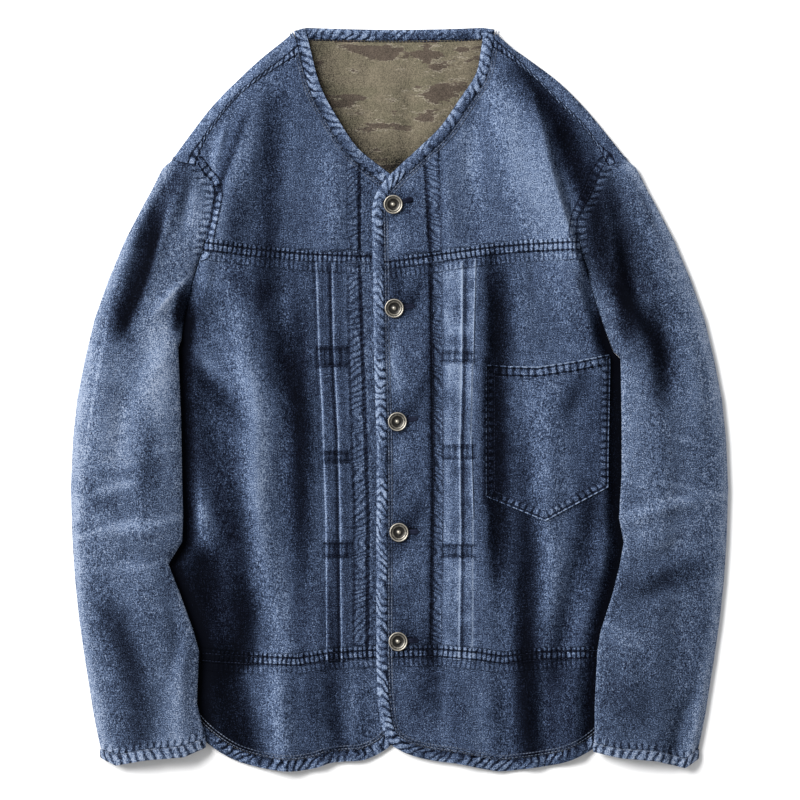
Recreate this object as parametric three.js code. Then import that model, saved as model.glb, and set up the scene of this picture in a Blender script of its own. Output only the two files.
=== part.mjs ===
// A collarless denim jacket, buttoned and laid flat on its back, with its sleeves drawn down over its
// sides. Millimetres. X runs to the right across the garment, Y from hem to neck, Z up from the surface
// that it lies on.
// The origin is on the flat underside of the back, halfway between the outer folds of the two sleeves.
// "left" and "right" are the sides in a view from above; the right front is buttoned over the left one.
import * as THREE from "three";

// Cloth
const CLOTH = 1.3;
const LINING = 0.8;
const SLEEVE_CLOTH = 1.5;
const STEEPEST = 2.2; // a wall's upright thickness is at most this many times its own thickness
const SEAM_GAP = 0.3; // between two pieces at a seam
const ARMHOLE_GAP = 1;
const LAYER_GAP = 0.35; // between two layers that lie on each other
const BOUND_WIDTH = 10.5; // a bound edge, seen from above
const BOUND_RISE = 1.5; // its half thickness

// Heights over the surface
const BACK_TOP = CLOTH;
const SIDE_SEAM = 3; // outer face of a front at its side seam
const LOW_FRONT = 4.6; // outer face of a front where it lies pressed flat
const UNDER_PLACKET = 4.6; // outer face of the left front at the opening
const OVER_PLACKET = 8; // outer face of the right front at the opening
const FULLNESS = 5.2; // how much higher a front lies between its pressed edges
const SLEEVE_LIFT = 6.2; // underside of a sleeve where it lies on the body
const SLEEVE_EDGE = 5; // height of a sleeve's folded edge over its own underside

// Outer edge of each front: [x, y] down the neckline, down the opening, and round the hem to the side vent.
const EDGE = {
  left: {
    neckline: [[-90, 352.5], [-86, 338], [-75, 297], [-56, 262], [-41, 240], [-26, 227], [-9, 214]],
    opening: [
      [4, 202], [10, 186], [11, 150], [11, 60], [12, -60], [12, -180], [12, -260], [9, -292], [2, -314],
    ],
    hem: [
      [-11, -330.5], [-32, -341.5], [-52, -343.5], [-66, -345], [-80, -349.5], [-99, -352.5],
      [-118, -351.5], [-141, -347], [-159, -341], [-177, -330], [-196, -314], [-212, -292], [-226, -263],
    ],
  },
  right: {
    neckline: [[80, 352.5], [77, 330], [72, 308], [57, 285], [39, 259], [18, 238.5], [0, 222]],
    opening: [
      [-13, 209], [-22, 196], [-26, 181], [-26, 160], [-25, 110], [-24.5, 50], [-22, -50], [-22, -182],
      [-22, -244], [-20.5, -285], [-16.5, -311],
    ],
    hem: [
      [-10, -325], [0, -332.5], [13, -338], [32, -342.5], [58, -346], [80, -350.5], [97, -352.8],
      [123, -350], [154, -345], [174, -337], [190, -327], [206, -311], [218, -290], [226, -266],
    ],
  },
};

// Seams of each front, [x, y] from the opening outwards or from the shoulder down.
const SEAMS = {
  left: {
    yoke: [[22, 126], [-39, 127], [-90, 129], [-141, 134], [-187, 140]],
    waist: [[24, -246], [-30, -247], [-64, -249], [-96, -254], [-150, -252], [-192, -249], [-232, -247]],
    shoulder: [[-97, 327], [-133, 303], [-157, 283], [-176, 259], [-187, 240], [-192, 222]],
    armhole: [[-192, 222], [-186, 213], [-179, 206], [-176, 194], [-180, 172], [-187, 140]],
    side: [
      [-187, 140], [-196, 111], [-203.5, 82], [-207, 56], [-214, 38], [-227, 18], [-234, -10],
      [-236, -70], [-234, -160], [-232, -247],
    ],
  },
  right: {
    yoke: [[-30, 119], [-8, 122], [29, 127], [76, 134], [117, 138], [172, 140.5]],
    waist: [[-36, -247], [38, -245.5], [72, -248.5], [98, -252.5], [136, -248], [186, -247], [234, -247]],
    shoulder: [[88, 333], [123, 309], [155, 277], [177, 254], [190, 236], [196, 222]],
    armhole: [[196, 222], [189, 211], [184, 198], [178, 186], [171, 172], [169, 158], [172, 140.5]],
    side: [
      [172, 140.5], [185, 96], [195, 66], [203, 45], [215, 34], [228, 16], [236, -12], [238, -70],
      [236, -160], [234, -247],
    ],
  },
};

// Folded edge of each shoulder from the neck to its tip.
const SHOULDER_FOLD = {
  left: [
    [-101, 349], [-109, 341.5], [-132.5, 322.5], [-153, 303.5], [-172, 284.5], [-188, 265.5], [-216, 227.5],
  ],
  right: [
    [91, 348], [107, 334], [123, 322.5], [148.5, 303.5], [168.5, 284.5], [185.5, 265.5], [216, 227.5],
  ],
};
// Outer fold of a sleeve and the height of its fullness over its folded edges, the same on both sides.
const SLEEVE = [
  { y: 226, out: 217, full: 3.5 }, { y: 209, out: 228, full: 5.5 }, { y: 190, out: 240, full: 7.5 },
  { y: 152, out: 260, full: 10 }, { y: 114, out: 276, full: 11.5 }, { y: 76, out: 289.5, full: 12.5 },
  { y: 38, out: 298.5, full: 13 }, { y: 0, out: 306, full: 13 }, { y: -38, out: 310, full: 13.3 },
  { y: -85, out: 312, full: 13.5 }, { y: -133, out: 310.5, full: 13 }, { y: -171, out: 308, full: 12.5 },
  { y: -209, out: 304, full: 12 }, { y: -247, out: 298.5, full: 11.5 }, { y: -285, out: 291, full: 10.5 },
  { y: -331, out: 280, full: 9.5 },
];
// Inner fold of each sleeve below the underarm, as distances from the middle of the garment.
const SLEEVE_INNER = [
  { y: 56, left: 210, right: 204 }, { y: 42, left: 209.5, right: 209.5 },
  { y: -19, left: 207, right: 210.5 }, { y: -72, left: 206, right: 210.5 },
  { y: -112, left: 205, right: 208 }, { y: -135, left: 206, right: 212.5 },
  { y: -156, left: 219, right: 209 }, { y: -184, left: 208, right: 202 },
  { y: -220, left: 195, right: 190.5 }, { y: -239, left: 190, right: 187.5 },
  { y: -285, left: 192, right: 185 }, { y: -305, left: 187, right: 185 }, { y: -331, left: 180, right: 183 },
];
const ARMHOLE_BACK = [[214, 224], [211, 205], [208, 170], [207.5, 130], [208.5, 95], [209.5, 60]];
const UNDERARM_Y = 60; // above this a sleeve is open to the body
// Seam and hem of each cuff: Y at a share of the way from the inner fold to the outer one.
const CUFF = {
  left: [
    { at: 0, seam: -320, hem: -330 }, { at: 0.2, seam: -327, hem: -338.5 },
    { at: 0.6, seam: -331, hem: -342 }, { at: 0.85, seam: -336, hem: -347 }, { at: 1, seam: -331, hem: -340 },
  ],
  right: [
    { at: 0, seam: -325, hem: -334 }, { at: 0.25, seam: -330, hem: -339.5 },
    { at: 0.6, seam: -332, hem: -342.5 }, { at: 0.87, seam: -340, hem: -349.5 },
    { at: 1, seam: -331, hem: -341 },
  ],
};
const CUFF_TOP = -316;
const CUFF_EXTRA = 0.8; // how far a cuff stands out from its sleeve

// Tucks beside the opening: [x, y] down the folded edges, which face the side seam.
const TUCKS = {
  left: {
    inner: [[-64, 128], [-62.5, 50], [-58, -34], [-56.5, -112], [-55, -249]],
    outer: [[-79, 129], [-76.5, 50], [-73, -18], [-70, -112], [-69, -250]],
  },
  right: {
    inner: [[60, 132], [59.5, 50], [57.5, -34], [58, -112], [56.5, -247]],
    outer: [[72.5, 134], [70, 44], [68, -34], [70, -112], [69.5, -249]],
  },
};
const TUCK_RISE = 1.7;
const TUCK_DROP = 0.7; // width over which a tuck's folded edge falls
// Front strip: its line of stitching and the outer side of the seam beside it.
const STRIP = {
  left: {
    stitch: [[-37.5, 220], [-37, 126], [-34.5, 50], [-31.5, -34], [-29, -112], [-30, -249]],
    outer: [[-50, 127], [-48, 0], [-45, -112], [-45, -249]],
  },
  right: {
    stitch: [[23, 228], [28.5, 134], [30, 33], [31, -68], [30, -167], [29, -246]],
    outer: [[40, 130], [41, 0], [41, -112], [40, -247]],
  },
};

// Folds of the cloth: a soft ridge, or a trough where rise is below 0, along a path. inw and out are its
// half widths towards the middle of the garment and away from it; start and end are shares of the rise at
// its ends.
const FOLDS = {
  left: [
    { path: [[-146, 284], [-160, 219], [-173, 174], [-181, 139], [-190, 110], [-199, 76], [-203, 46]],
      rise: 12, inw: 24, out: 5, start: 0.2, end: 0.3 },
    { path: [[-182, 250], [-177, 226], [-181, 196]], rise: -3.5, inw: 9, out: 8, start: 0.2, end: 0.4 },
    { path: [[-163, 262], [-172, 240], [-177, 214]], rise: 2.6, inw: 3.5, out: 3.5, start: 0.1, end: 0.2 },
    { path: [[-112, 322], [-124, 230], [-140, 150]], rise: -4.5, inw: 15, out: 13, start: 0.3, end: 0.5 },
    { path: [[-70, 250], [-62, 195], [-66, 138]], rise: 3.8, inw: 12, out: 13, start: 0.1, end: 0.5 },
    { path: [[-168, 138], [-176, 116], [-182, 96]], rise: -2.6, inw: 8, out: 7, start: 0.6, end: 0 },
    { path: [[-150, 124], [-152, 67], [-146, 30], [-137, -2], [-139, -60], [-137, -103], [-131, -141],
      [-121, -183], [-110, -236]], rise: 10, inw: 14, out: 17, start: 0.3, end: 0.4 },
    { path: [[-112, 130], [-107, 33], [-103, -18], [-109, -86], [-95, -190]],
      rise: -5.5, inw: 9, out: 10, start: 0.4, end: 0.2 },
    { path: [[-90, 132], [-87, 20], [-85, -120], [-83, -238]],
      rise: 3.4, inw: 9, out: 8, start: 0.5, end: 0.5 },
    { path: [[-190, -60], [-187, -121], [-168, -152], [-141, -193]],
      rise: 5.5, inw: 9, out: 11, start: 0.1, end: 0.3 },
    { path: [[-200, 40], [-168, -18], [-158, -103], [-152, -150]],
      rise: -7.5, inw: 12, out: 16, start: 0.3, end: 0.3 },
    { path: [[-198, -162], [-169, -203], [-155, -246]], rise: -5.5, inw: 9, out: 10, start: 0.4, end: 0.6 },
    { path: [[-118, -256], [-113, -300], [-108, -350]], rise: 7, inw: 13, out: 13, start: 0.3, end: 1 },
    { path: [[-158, -256], [-160, -292], [-150, -336]], rise: -3.4, inw: 13, out: 14, start: 0.3, end: 0.8 },
    { path: [[-84, -260], [-81, -316], [-76, -345]], rise: 3.2, inw: 8, out: 8, start: 0.2, end: 0.9 },
    { path: [[-62, -256], [-60, -300], [-54, -342]], rise: -2.4, inw: 8, out: 8, start: 0.3, end: 0.6 },
    { path: [[-44, -252], [-44, -280], [-40, -312]], rise: -2.4, inw: 8, out: 8, start: 0.2, end: 0.2 },
    { path: [[-186, -256], [-186, -292], [-172, -325]], rise: 2.4, inw: 8, out: 8, start: 0, end: 0.8 },
  ],
  right: [
    { path: [[112, 312], [127, 286], [143, 219], [160, 161], [166, 138], [179, 96], [194, 56]],
      rise: 12.5, inw: 27, out: 5, start: 0.2, end: 0.3 },
    { path: [[150, 270], [160, 240], [170, 200]], rise: -3.2, inw: 8, out: 8, start: 0.2, end: 0.5 },
    { path: [[168, 262], [176, 244], [184, 222]], rise: 3, inw: 5, out: 5, start: 0.2, end: 0.2 },
    { path: [[88, 322], [96, 262], [114, 196], [128, 152]],
      rise: 6, inw: 11, out: 16, start: 0.2, end: 0.5 },
    { path: [[72, 282], [68, 220], [72, 146]], rise: -3.8, inw: 10, out: 10, start: 0.1, end: 0.6 },
    { path: [[40, 236], [46, 190], [48, 140]], rise: 2.8, inw: 6, out: 7, start: 0.1, end: 0.5 },
    { path: [[89, 134], [91, 41], [87, -30], [92, -120], [97, -228]],
      rise: -6, inw: 7, out: 12, start: 0.8, end: 0.5 },
    { path: [[116, 132], [112, 90], [122, 44]], rise: 3.4, inw: 11, out: 11, start: 0.3, end: 0.3 },
    { path: [[122, 138], [126, 122], [126, 104]], rise: -2, inw: 4, out: 4, start: 0.8, end: 0 },
    { path: [[150, 134], [158, 90], [168, 50]], rise: 2.4, inw: 9, out: 9, start: 0.3, end: 0.3 },
    { path: [[137, 34], [141, -40], [140, -112], [145, -158], [139, -214], [138, -246]],
      rise: 7, inw: 15, out: 13, start: 0.3, end: 0.4 },
    { path: [[178, 28], [170, -14], [176, -80]], rise: -3.4, inw: 10, out: 9, start: 0.2, end: 0.3 },
    { path: [[190, -84], [172, -160], [158, -227], [156, -246]],
      rise: -6, inw: 10, out: 9, start: 0.2, end: 0.6 },
    { path: [[198, -60], [197, -130], [190, -200]], rise: 3.6, inw: 8, out: 7, start: 0.1, end: 0.1 },
    { path: [[120, -150], [116, -204], [122, -246]], rise: -3, inw: 7, out: 8, start: 0, end: 0.5 },
    { path: [[10, -256], [6, -290], [12, -330]], rise: 3, inw: 10, out: 9, start: 0.2, end: 0.5 },
    { path: [[48, -262], [64, -313], [67, -345]], rise: 3.8, inw: 10, out: 9, start: 0.2, end: 0.8 },
    { path: [[97, -256], [101, -300], [108, -340]], rise: -5, inw: 10, out: 8, start: 0.5, end: 0.8 },
    { path: [[120, -262], [122, -310], [126, -345]], rise: 3.4, inw: 7, out: 7, start: 0.2, end: 0.6 },
    { path: [[137, -256], [137, -295], [141, -335]], rise: -3.4, inw: 7, out: 8, start: 0.4, end: 0.6 },
    { path: [[163, -262], [163, -295], [166, -335]], rise: 4, inw: 11, out: 12, start: 0.2, end: 0.7 },
    { path: [[10, 82], [18, 102], [24, 118]], rise: -2, inw: 5, out: 6, start: 0.2, end: 0.4 },
    { path: [[10, -40], [20, -62], [26, -80]], rise: 1.8, inw: 7, out: 7, start: 0.1, end: 0.2 },
  ],
  sleeveLeft: [
    { path: [[-212, 214], [-238, 158], [-262, 74]], rise: -7, inw: 8, out: 9, start: 0.4, end: 0.4 },
    { path: [[-198, 206], [-202, 180], [-206, 150]], rise: -3.5, inw: 5, out: 6, start: 0.6, end: 0 },
    { path: [[-208, 206], [-224, 160], [-242, 96]], rise: 3.6, inw: 7, out: 6, start: 0.4, end: 0.2 },
    { path: [[-203, 112], [-218, 98], [-238, 74]], rise: 4.2, inw: 9, out: 4, start: 0.3, end: 0.1 },
    { path: [[-262, 90], [-282, 30], [-283, -60]], rise: 3.4, inw: 12, out: 9, start: 0.1, end: 0.1 },
    { path: [[-257, 20], [-262, -20], [-266, -60]], rise: -2.8, inw: 10, out: 8, start: 0, end: 0.3 },
    { path: [[-221, -156], [-242, -148], [-268, -146]], rise: -4, inw: 9, out: 7, start: 0.9, end: 0 },
    { path: [[-210, -70], [-236, -64], [-284, -58]], rise: -2.4, inw: 6, out: 6, start: 0.2, end: 0.4 },
    { path: [[-212, -120], [-246, -126], [-290, -122]], rise: 2.6, inw: 7, out: 7, start: 0.4, end: 0.3 },
    { path: [[-302, -62], [-303, -170], [-283, -300]], rise: 2.2, inw: 4, out: 4, start: 0.2, end: 0.4 },
    { path: [[-216, -190], [-210, -230], [-216, -262]], rise: -3.6, inw: 5, out: 6, start: 0.1, end: 0.1 },
    { path: [[-200, -230], [-206, -270], [-202, -318]], rise: 3.2, inw: 6, out: 9, start: 0.5, end: 0.4 },
    { path: [[-226, -262], [-230, -292], [-232, -322]], rise: -2.6, inw: 8, out: 8, start: 0.1, end: 0.6 },
    { path: [[-262, -180], [-266, -240], [-258, -322]], rise: 2.8, inw: 12, out: 10, start: 0.1, end: 0.5 },
  ],
  sleeveRight: [
    { path: [[202, 212], [209, 160], [222, 104]], rise: -5.5, inw: 7, out: 9, start: 0.5, end: 0.4 },
    { path: [[216, 212], [240, 160], [262, 84]], rise: 3.2, inw: 9, out: 9, start: 0.3, end: 0.3 },
    { path: [[222, 208], [240, 176], [250, 150]], rise: -2.8, inw: 4, out: 5, start: 0.3, end: 0 },
    { path: [[196, 118], [216, 102], [229, 48]], rise: 4.4, inw: 4, out: 7, start: 0.3, end: 0.1 },
    { path: [[246, 100], [254, 40], [250, -20]], rise: -4.6, inw: 10, out: 9, start: 0.2, end: 0.1 },
    { path: [[268, 76], [282, 20], [284, -50]], rise: 3, inw: 10, out: 9, start: 0.1, end: 0.1 },
    { path: [[214, -115], [250, -104], [300, -92]], rise: 3, inw: 6, out: 6, start: 0.5, end: 0.3 },
    { path: [[216, -150], [240, -152], [276, -130]], rise: -4.4, inw: 9, out: 9, start: 0.4, end: 0 },
    { path: [[208, -196], [236, -186], [266, -160]], rise: -3.4, inw: 8, out: 8, start: 0.4, end: 0 },
    { path: [[198, -222], [214, -244], [220, -280]], rise: 4, inw: 8, out: 8, start: 0.3, end: 0.1 },
    { path: [[196, -248], [208, -282], [232, -318]], rise: -4, inw: 6, out: 6, start: 0.4, end: 0.1 },
    { path: [[240, -262], [236, -290], [250, -322]], rise: -2.6, inw: 8, out: 7, start: 0, end: 0.4 },
    { path: [[256, -336], [264, -300], [282, -262]], rise: -4.5, inw: 6, out: 6, start: 1, end: 0 },
    { path: [[272, -330], [284, -290], [294, -240]], rise: 2.8, inw: 5, out: 4, start: 0.5, end: 0.1 },
  ],
};

// Patch pocket on the right front: [x, y] along its opening and along its pointed lower edge.
const POCKET = {
  top: [[82, 33], [104, 31.5], [131, 31], [165, 36], [200, 43]],
  bottom: [[82, -92], [138, -115], [198, -83]],
};
const POCKET_CLOTH = 1.4;

// Hem of the back, left to right. It stays inside the hem of the fronts.
const BACK_HEM = [
  [-217, -262], [-205, -288], [-188, -306], [-166, -319], [-130, -327], [-70, -326], [0, -318], [70, -326],
  [130, -327], [170, -319], [192, -305], [209, -286], [220, -262],
];
const BACK_WAIST = -236;
const BACK_YOKE = 225.5; // Y of the seam below the back yoke
const BACK_NECK = 340;
const NECK_BAND = [[-88.5, 353], [-45, 351.6], [-4, 351], [40, 351.6], [79, 353]];

const BUTTON = { radius: 9, rim: 1.3, dish: 5.4, height: 3.2, stud: 1.9, sides: 18 };
const BUTTONS = [
  { x: -6, y: 185 }, { x: -5, y: 86.5 }, { x: -2, y: -21 }, { x: -0.5, y: -126 }, { x: -1.4, y: -229.5 },
];

const COLOURS = { denim: 0x3d5474, lining: 0x7a745f, metal: 0x8c877a };

// How finely each kind of surface is divided.
const YOKE_ROWS = 12;
const YOKE_COLUMNS = 14;
const BODY_ROWS = { above: 5, pocket: 6, below: 5 };
const POCKET_COLUMNS = 11;
const SIDE_COLUMNS = 3;
const HEM_ROWS = 5;
const BACK_HEM_STEPS = 24;
const SHOULDER_ROWS = 14;

const SIGN = { left: -1, right: 1 }; // sign of X on each side

const lerp = (a, b, t) => a + (b - a) * t;
const clamp = (v, low, high) => Math.min(high, Math.max(low, v));
const smooth = (v) => {
  const t = clamp(v, 0, 1);
  return t * t * (3 - 2 * t);
};
const steps = (count) => Array.from({ length: count + 1 }, (_, i) => i / count);
const eased = (count) => steps(count).map((t) => 0.5 - 0.5 * Math.cos(Math.PI * t));

// A smooth curve through [x, y] points, as a function of t from 0 to 1 by equal steps from point to point.
function spline(points) {
  const curve = new THREE.SplineCurve(points.map(([x, y]) => new THREE.Vector2(x, y)));
  return (t) => curve.getPoint(clamp(t, 0, 1)).toArray();
}

// The value in column `key` where column `by` is at, by straight lines from row to row.
function lookUp(rows, by, at, key) {
  const sorted = rows[rows.length - 1][by] > rows[0][by] ? rows : [...rows].reverse();
  let k = 1;
  while (k < sorted.length - 1 && sorted[k][by] < at) k += 1;
  const [a, b] = [sorted[k - 1], sorted[k]];
  return lerp(a[key], b[key], clamp((at - a[by]) / (b[by] - a[by]), 0, 1));
}
const yAtX = (rows, x) => lookUp(rows, 0, x, 1);
const xAtY = (rows, y) => lookUp(rows, 1, y, 0);

// The curve moved sideways, to the left of its direction where distance is above 0.
function beside(curve, distance) {
  const step = 1e-3;
  return (t) => {
    const [x0, y0] = curve(t - step);
    const [x1, y1] = curve(t + step);
    const length = Math.hypot(x1 - x0, y1 - y0);
    const [x, y] = curve(t);
    return [x - (distance * (y1 - y0)) / length, y + (distance * (x1 - x0)) / length];
  };
}

// The t between from and to at which falls(t) turns from true to false.
function turning(falls, from, to) {
  let [low, high] = [from, to];
  for (let i = 0; i < 40; i += 1) {
    const middle = (low + high) / 2;
    if (falls(middle)) low = middle;
    else high = middle;
  }
  return low;
}

const FOLD_STEPS = 12;
const FADE = 0.35; // share of a fold's length over which it fades at each end
const WIDTH_TURN = 0.8; // how fast a fold's width changes from one side to the other where its path bends
const foldLines = new Map();
function lineOf(fold) {
  if (!foldLines.has(fold)) foldLines.set(fold, steps(FOLD_STEPS).map(spline(fold.path)));
  return foldLines.get(fold);
}
// Height of one fold at (x, y): a bell across the nearest point of its path, with its own width on each side.
function foldHeight(fold, x, y) {
  const line = lineOf(fold);
  let near = { gap: Infinity };
  for (let i = 0; i < FOLD_STEPS; i += 1) {
    const [ax, ay] = line[i];
    const [dx, dy] = [line[i + 1][0] - ax, line[i + 1][1] - ay];
    const s = clamp(((x - ax) * dx + (y - ay) * dy) / (dx * dx + dy * dy), 0, 1);
    const gap = Math.hypot(x - ax - s * dx, y - ay - s * dy);
    if (gap < near.gap) near = { gap, t: (i + s) / FOLD_STEPS, foot: ax + s * dx };
  }
  const outwards = (Math.abs(x) - Math.abs(near.foot)) / Math.max(near.gap, 1e-6);
  const width = lerp(fold.inw, fold.out, smooth(0.5 + WIDTH_TURN * outwards));
  const [start, end] = [smooth(near.t / FADE), smooth((1 - near.t) / FADE)];
  const share = lerp(fold.start, 1, start) * lerp(fold.end, 1, end);
  return fold.rise * share * Math.exp(-((near.gap / width) ** 2));
}
const foldsAt = (folds, x, y) => folds.reduce((sum, fold) => sum + foldHeight(fold, x, y), 0);

// Share of its rise that each tuck starts with.
const TUCK_START = { first: 0.1, second: 0.25 };
// Rise of the tucks over the front: each climbs to its folded edge and drops there.
function tuckHeight(side, x, y) {
  if (y > yAtX(SEAMS[side].yoke, x) || y < yAtX(SEAMS[side].waist, x)) return 0;
  const at = Math.abs(x);
  const outer = Math.abs(xAtY(TUCKS[side].outer, y));
  const inner = Math.abs(xAtY(TUCKS[side].inner, y));
  const strip = Math.abs(xAtY(STRIP[side].outer, y));
  const climb = (start, from, to) => TUCK_RISE * lerp(start, 1, (at - from) / (to - from));
  if (at <= outer && at > inner) return climb(TUCK_START.second, inner, outer);
  if (at <= inner && at > strip) return climb(TUCK_START.first, strip, inner);
  return 0;
}

// X of a sleeve's inner edge as it shows from above, as a distance from the middle.
function sleeveInner(side, y) {
  const { armhole, side: seam } = SEAMS[side];
  if (y > seam[0][1]) return Math.abs(xAtY(armhole, y)) + ARMHOLE_GAP;
  if (y > UNDERARM_Y) return Math.abs(xAtY(seam, y)) + ARMHOLE_GAP;
  return lookUp(SLEEVE_INNER, "y", y, side);
}

// v where it is well above 0, and a little above 0 where it is below.
const SOFTNESS = 1.2;
const aboveZero = (v) => 0.5 * (v + Math.hypot(v, SOFTNESS) - SOFTNESS * Math.exp(-Math.abs(v) / 4));

// Stretches over which a front rises from its pressed parts: where each starts and how wide it is.
const RISE = {
  strip: { start: -14, width: 34 }, // outwards from the front strip's stitching
  sleeve: { start: 3, width: 16 }, // inwards from the inner fold of the sleeve that lies on it
  underarm: { start: 70, width: 40 }, // upwards, where the sleeve no longer lies on it
  hem: { start: -352, width: 60, share: 0.45 }, // upwards, with the share of the fullness at its start
  shoulder: { start: 0, width: 60, share: 0.35 }, // downwards from the fold
  sideSeam: { start: 1, width: 14 }, // inwards from the side seam
  sideEnds: { low: -240, high: 130, width: 30 }, // ends of the stretch of the side seam that is pressed
};
const FOLDS_ON_STRIP = 0.35; // share of the folds' height that is left on the front strip
const risen = (way, { start, width }) => smooth((way - start) / width);

// Outer face of a front at (x, y): low where it is pressed at the opening, the hem, the side seam and under
// the sleeve, and full between them.
function frontHeight(side, x, y) {
  const at = Math.abs(x);
  const placket = side === "right" ? OVER_PLACKET : UNDER_PLACKET;
  const out = risen(SIGN[side] * (x - xAtY(STRIP[side].stitch, y)), RISE.strip);
  const sleeveOff = risen(sleeveInner(side, Math.min(y, UNDERARM_Y)) - at, RISE.sleeve);
  const covered = lerp(sleeveOff, 1, risen(y, RISE.underarm));
  const hem = lerp(RISE.hem.share, 1, risen(y, RISE.hem));
  const shoulder = lerp(RISE.shoulder.share, 1, risen(yAtX(SHOULDER_FOLD[side], x) - y, RISE.shoulder));
  const lump = foldsAt(FOLDS[side], x, y) * lerp(FOLDS_ON_STRIP, 1, out);
  const loft = lerp(placket, LOW_FRONT + FULLNESS * hem * shoulder, out) + lump;
  const { low, high, width } = RISE.sideEnds;
  const onSide = smooth((y - low) / width) * smooth((high - y) / width);
  const closing = (1 - risen(Math.abs(xAtY(SEAMS[side].side, y)) - at, RISE.sideSeam)) * onSide;
  const least = lerp(lerp(LOW_FRONT, placket, (1 - out) * covered), SIDE_SEAM, closing);
  const height = lerp(least, loft, covered * (1 - closing));
  return least + aboveZero(height - least) + tuckHeight(side, x, y) * covered;
}

const tripleProduct = (a, b, c) =>
  a[0] * (b[1] * c[2] - b[2] * c[1])
  - a[1] * (b[0] * c[2] - b[2] * c[0])
  + a[2] * (b[0] * c[1] - b[1] * c[0]);

// A closed wall between two grids of points that have the same rows and columns.
function wall(name, outer, inner, material) {
  const rows = outer.length;
  const columns = outer[0].length;
  const points = [...outer.flat(), ...inner.flat()];
  const at = (layer, i, j) => layer * rows * columns + i * columns + j;
  const faces = [];
  const quad = (a, b, c, d) => faces.push([a, b, c], [a, c, d]);
  for (let i = 0; i + 1 < rows; i += 1) {
    for (let j = 0; j + 1 < columns; j += 1) {
      quad(at(0, i, j), at(0, i, j + 1), at(0, i + 1, j + 1), at(0, i + 1, j));
      quad(at(1, i, j), at(1, i + 1, j), at(1, i + 1, j + 1), at(1, i, j + 1));
    }
  }
  const rim = [];
  for (let j = 0; j < columns - 1; j += 1) rim.push([0, j]);
  for (let i = 0; i < rows - 1; i += 1) rim.push([i, columns - 1]);
  for (let j = columns - 1; j > 0; j -= 1) rim.push([rows - 1, j]);
  for (let i = rows - 1; i > 0; i -= 1) rim.push([i, 0]);
  rim.forEach(([i, j], k) => {
    const [p, q] = rim[(k + 1) % rim.length];
    quad(at(0, i, j), at(1, i, j), at(1, p, q), at(0, p, q));
  });
  const volume = faces.reduce((sum, [a, b, c]) => sum + tripleProduct(points[a], points[b], points[c]), 0);
  if (volume < 0) faces.forEach((face) => face.reverse());
  const geometry = new THREE.BufferGeometry();
  geometry.setAttribute("position", new THREE.Float32BufferAttribute(points.flat(), 3));
  geometry.setIndex(faces.flat());
  geometry.computeVertexNormals();
  return named(name, geometry, material);
}

function named(name, geometry, material) {
  const mesh = new THREE.Mesh(geometry, material);
  mesh.name = name;
  return mesh;
}

// A grid of [x, y] points between four boundary curves, each a function of 0 to 1.
function patch({ top, bottom, inner, outer }, across, down) {
  const [topIn, topOut, lowIn, lowOut] = [top(0), top(1), bottom(0), bottom(1)];
  const point = (u, v, k) =>
    lerp(top(u)[k], bottom(u)[k], v) + lerp(inner(v)[k], outer(v)[k], u)
    - lerp(lerp(topIn[k], topOut[k], u), lerp(lowIn[k], lowOut[k], u), v);
  return down.map((v) => across.map((u) => [point(u, v, 0), point(u, v, 1)]));
}
const lift = (grid, height) => grid.map((row) => row.map(([x, y]) => [x, y, height(x, y)]));

// The stretch behind the neck that the printed lining reaches, and the width over which the front climbs it.
const LINED = { reach: 150, low: 160, width: 12 };
// Lowest that the inner face of a front may lie: over the back, and over the printed lining.
function frontFloor(x, y) {
  const lined = smooth((LINED.reach - Math.abs(x)) / LINED.width) * smooth((y - LINED.low) / LINED.width);
  return BACK_TOP + SEAM_GAP + lined * (LINING + LAYER_GAP);
}

// A front's wall: its outer face at frontHeight, its inner face its own thickness below on slopes too.
const SLOPE_STEP = 1.5;
function frontWall(name, side, grid, material) {
  const height = (x, y) => frontHeight(side, x, y);
  const under = (x, y) => {
    const across = (height(x + SLOPE_STEP, y) - height(x - SLOPE_STEP, y)) / (2 * SLOPE_STEP);
    const along = (height(x, y + SLOPE_STEP) - height(x, y - SLOPE_STEP)) / (2 * SLOPE_STEP);
    const thick = CLOTH * clamp(Math.hypot(1, across, along), 1, STEEPEST);
    return Math.max(height(x, y) - thick, frontFloor(x, y));
  };
  return wall(name, lift(grid, height), lift(grid, under), material);
}

// The bound edge of one front and the places along it that its pieces share, so that they meet point to
// point.
function frontPlan(side) {
  const { neckline, opening, hem } = EDGE[side];
  const points = [...neckline, ...opening, ...hem];
  const edge = spline(points);
  const inward = SIGN[side];
  const within = beside(edge, inward * (BOUND_WIDTH + SEAM_GAP));
  const neckEnd = (neckline.length - 1) / (points.length - 1);
  const corner = (neckline.length + opening.length - 1) / (points.length - 1);
  const crossing = (rows, from, to) => turning((t) => within(t)[1] > yAtX(rows, within(t)[0]), from, to);
  const shoulder = crossing(SEAMS[side].shoulder, 0, neckEnd / 2);
  const yoke = crossing(SEAMS[side].yoke, neckEnd, corner);
  const waist = crossing(SEAMS[side].waist, yoke, corner);
  const atLevel = (level) => turning((t) => within(t)[1] > level, yoke, waist);
  const { above, pocket, below } = BODY_ROWS;
  const levels = rowsBetween(within(yoke)[1], POCKET.top[0][1], POCKET.bottom[0][1], within(waist)[1]);
  const body = [yoke, ...levels.slice(1, above + pocket + below).map(atLevel), waist];
  return { edge, within, inward, shoulder, yoke, waist, corner, body };
}
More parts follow.
